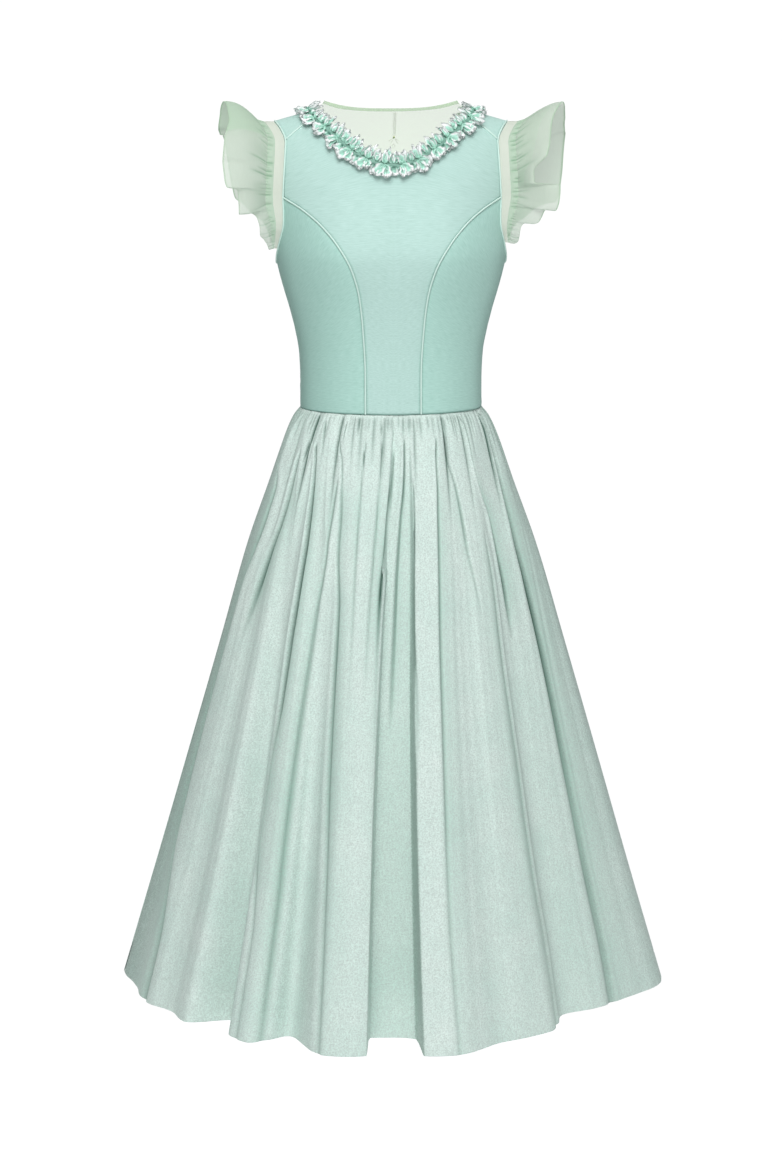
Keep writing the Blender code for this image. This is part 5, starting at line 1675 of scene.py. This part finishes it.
def rolledHem(side, share):  # the frill's narrow hem, turned up inside
    rows = sleeveShape["hemRows"]
    share = share[:rows]
    turn = np.broadcast_to(np.linspace(3.0, 3.0 - sleeveShape["hemReach"], rows)[:, None], share.shape)
    hem, crease, _ = sleeveSurface(side, share, turn)
    return hem + gridNormals(hem) * sleeveShape["hemGap"] * np.linspace(0, 1, rows)[:, None, None], crease


def makeSleeve(side):
    hand, frill = ("left", frillLeft) if side > 0 else ("right", frillRight)
    for part in sleeveParts:
        share = np.linspace(frill[0].share, frill[-1].share, sleeveShape["columns"])[None, :]
        reach = np.linspace(part.low, part.high, part.rows)[:, None]
        share, reach = np.broadcast_arrays(share, reach)
        grid, crease, double = sleeveSurface(side, share, reach)
        grids, layers, creases = [grid], [double], [crease]
        if part.look == "frill":
            hem, crease = rolledHem(side, share)
            grids.append(hem)
            layers.append(np.ones(crease.shape))
            creases.append(crease)
        flips = [side > 0, side < 0][: len(grids)]
        masks = {"layers": layers, "crease": creases}
        piece = clothMesh(f"{part.name}_{hand}_sheer", grids, organza[part.look], masks, flips)
        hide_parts(f"{part.name}_{hand}")


makeSleeve(1)
makeSleeve(-1)
print("sleeves made")


# floor, light and camera

studio = {
    "floorZ": -1.80,
    "floorRadius": 1.3,
    "cameraDistance": 3.70,
    "cameraHeight": 0.10,
    "cameraTurn": -2.0,
    "cameraPitch": 11.7174,
    "focalLength": 80.363,
    "ambient": 0.15,  # light from all round
    "frontLight": 0.52,  # more of it from the front
    "backLight": 0.62,
}
Lamp = namedtuple("Lamp", "name place target power size")
lamps = (
    Lamp("key", (-0.15, -2.7, 1.9), (0, 0, -0.5), 82.0, 1.8),
    Lamp("fill", (0.9, -4.3, 0.1), (0, 0, -0.6), 4.0, 2.2),
    Lamp("top", (0.0, -0.6, 3.2), (0, 0, -0.4), 12.0, 2.0),
)


def makeFloor():
    mesh = bpy.data.meshes.new("floor")
    turns = [2 * math.pi * k / 48 for k in range(48)]
    radius = studio["floorRadius"]
    rim = [(radius * math.cos(t), radius * math.sin(t), studio["floorZ"]) for t in turns]
    mesh.from_pydata(rim, [], [tuple(range(48))])
    material = bpy.data.materials.new("PaleFloor")
    material.use_nodes = True
    shader = material.node_tree.nodes["Principled BSDF"]
    shader.inputs["Base Color"].default_value = (0.9, 0.9, 0.9, 1)
    shader.inputs["Roughness"].default_value = 0.9
    shader.inputs["Specular IOR Level"].default_value = 0.0
    shader.inputs["Emission Color"].default_value = (1, 1, 1, 1)
    shader.inputs["Emission Strength"].default_value = 0.68
    mesh.materials.append(material)
    floor = bpy.data.objects.new("floor", mesh)
    bpy.context.scene.collection.objects.link(floor)


def makeWorld():
    world = bpy.data.worlds.new("Studio")
    bpy.context.scene.world = world
    world.use_nodes = True
    tree = world.node_tree
    tree.nodes.clear()
    seen = addNode(tree, "ShaderNodeBackground", inputs={"Color": (1, 1, 1, 1), "Strength": 1.02})
    lit = addNode(tree, "ShaderNodeBackground", inputs={"Color": (0.97, 0.99, 1, 1)})
    place = addNode(tree, "ShaderNodeTexCoord")
    apart = addNode(tree, "ShaderNodeSeparateXYZ")
    join(tree, place.outputs["Generated"], apart.inputs[0])
    front = mathNode(tree, "MAXIMUM", mathNode(tree, "MULTIPLY", apart.outputs[1], -1.0), 0.0)
    behind = mathNode(tree, "MAXIMUM", apart.outputs[1], 0.0)
    front = mathNode(tree, "MULTIPLY", front, studio["frontLight"])
    behind = mathNode(tree, "MULTIPLY", behind, studio["backLight"])
    strength = mathNode(tree, "ADD", mathNode(tree, "ADD", front, behind), studio["ambient"])
    join(tree, strength, lit.inputs["Strength"])
    path = addNode(tree, "ShaderNodeLightPath")
    mix = addNode(tree, "ShaderNodeMixShader")
    out = addNode(tree, "ShaderNodeOutputWorld")
    join(tree, path.outputs["Is Camera Ray"], mix.inputs[0])
    join(tree, lit.outputs[0], mix.inputs[1])
    join(tree, seen.outputs[0], mix.inputs[2])
    join(tree, mix.outputs[0], out.inputs[0])


def makeLight(lamp):
    light = bpy.data.lights.new(lamp.name, "AREA")
    light.shape = "RECTANGLE"
    light.size, light.size_y = lamp.size, lamp.size
    light.energy = lamp.power
    holder = bpy.data.objects.new(lamp.name, light)
    bpy.context.scene.collection.objects.link(holder)
    holder.location = lamp.place
    away = np.array(lamp.target) - np.array(lamp.place)
    tilt = math.atan2(math.hypot(away[0], away[1]), -away[2])
    holder.rotation_euler = (tilt, 0, math.atan2(-away[0], away[1]))
    holder.visible_camera = False


def makeCamera():
    camera = bpy.data.cameras.new("camera")
    camera.lens = studio["focalLength"]
    camera.sensor_width = 36.0
    holder = bpy.data.objects.new("camera", camera)
    bpy.context.scene.collection.objects.link(holder)
    turn = math.radians(studio["cameraTurn"])
    distance = studio["cameraDistance"]
    holder.location = (distance * math.sin(turn), -distance * math.cos(turn), studio["cameraHeight"])
    holder.rotation_euler = (math.radians(90 - studio["cameraPitch"]), 0, turn)
    bpy.context.scene.camera = holder


makeFloor()
makeWorld()
for lamp in lamps:
    makeLight(lamp)
makeCamera()
bpy.context.scene.view_settings.view_transform = "Standard"
print("studio ready")
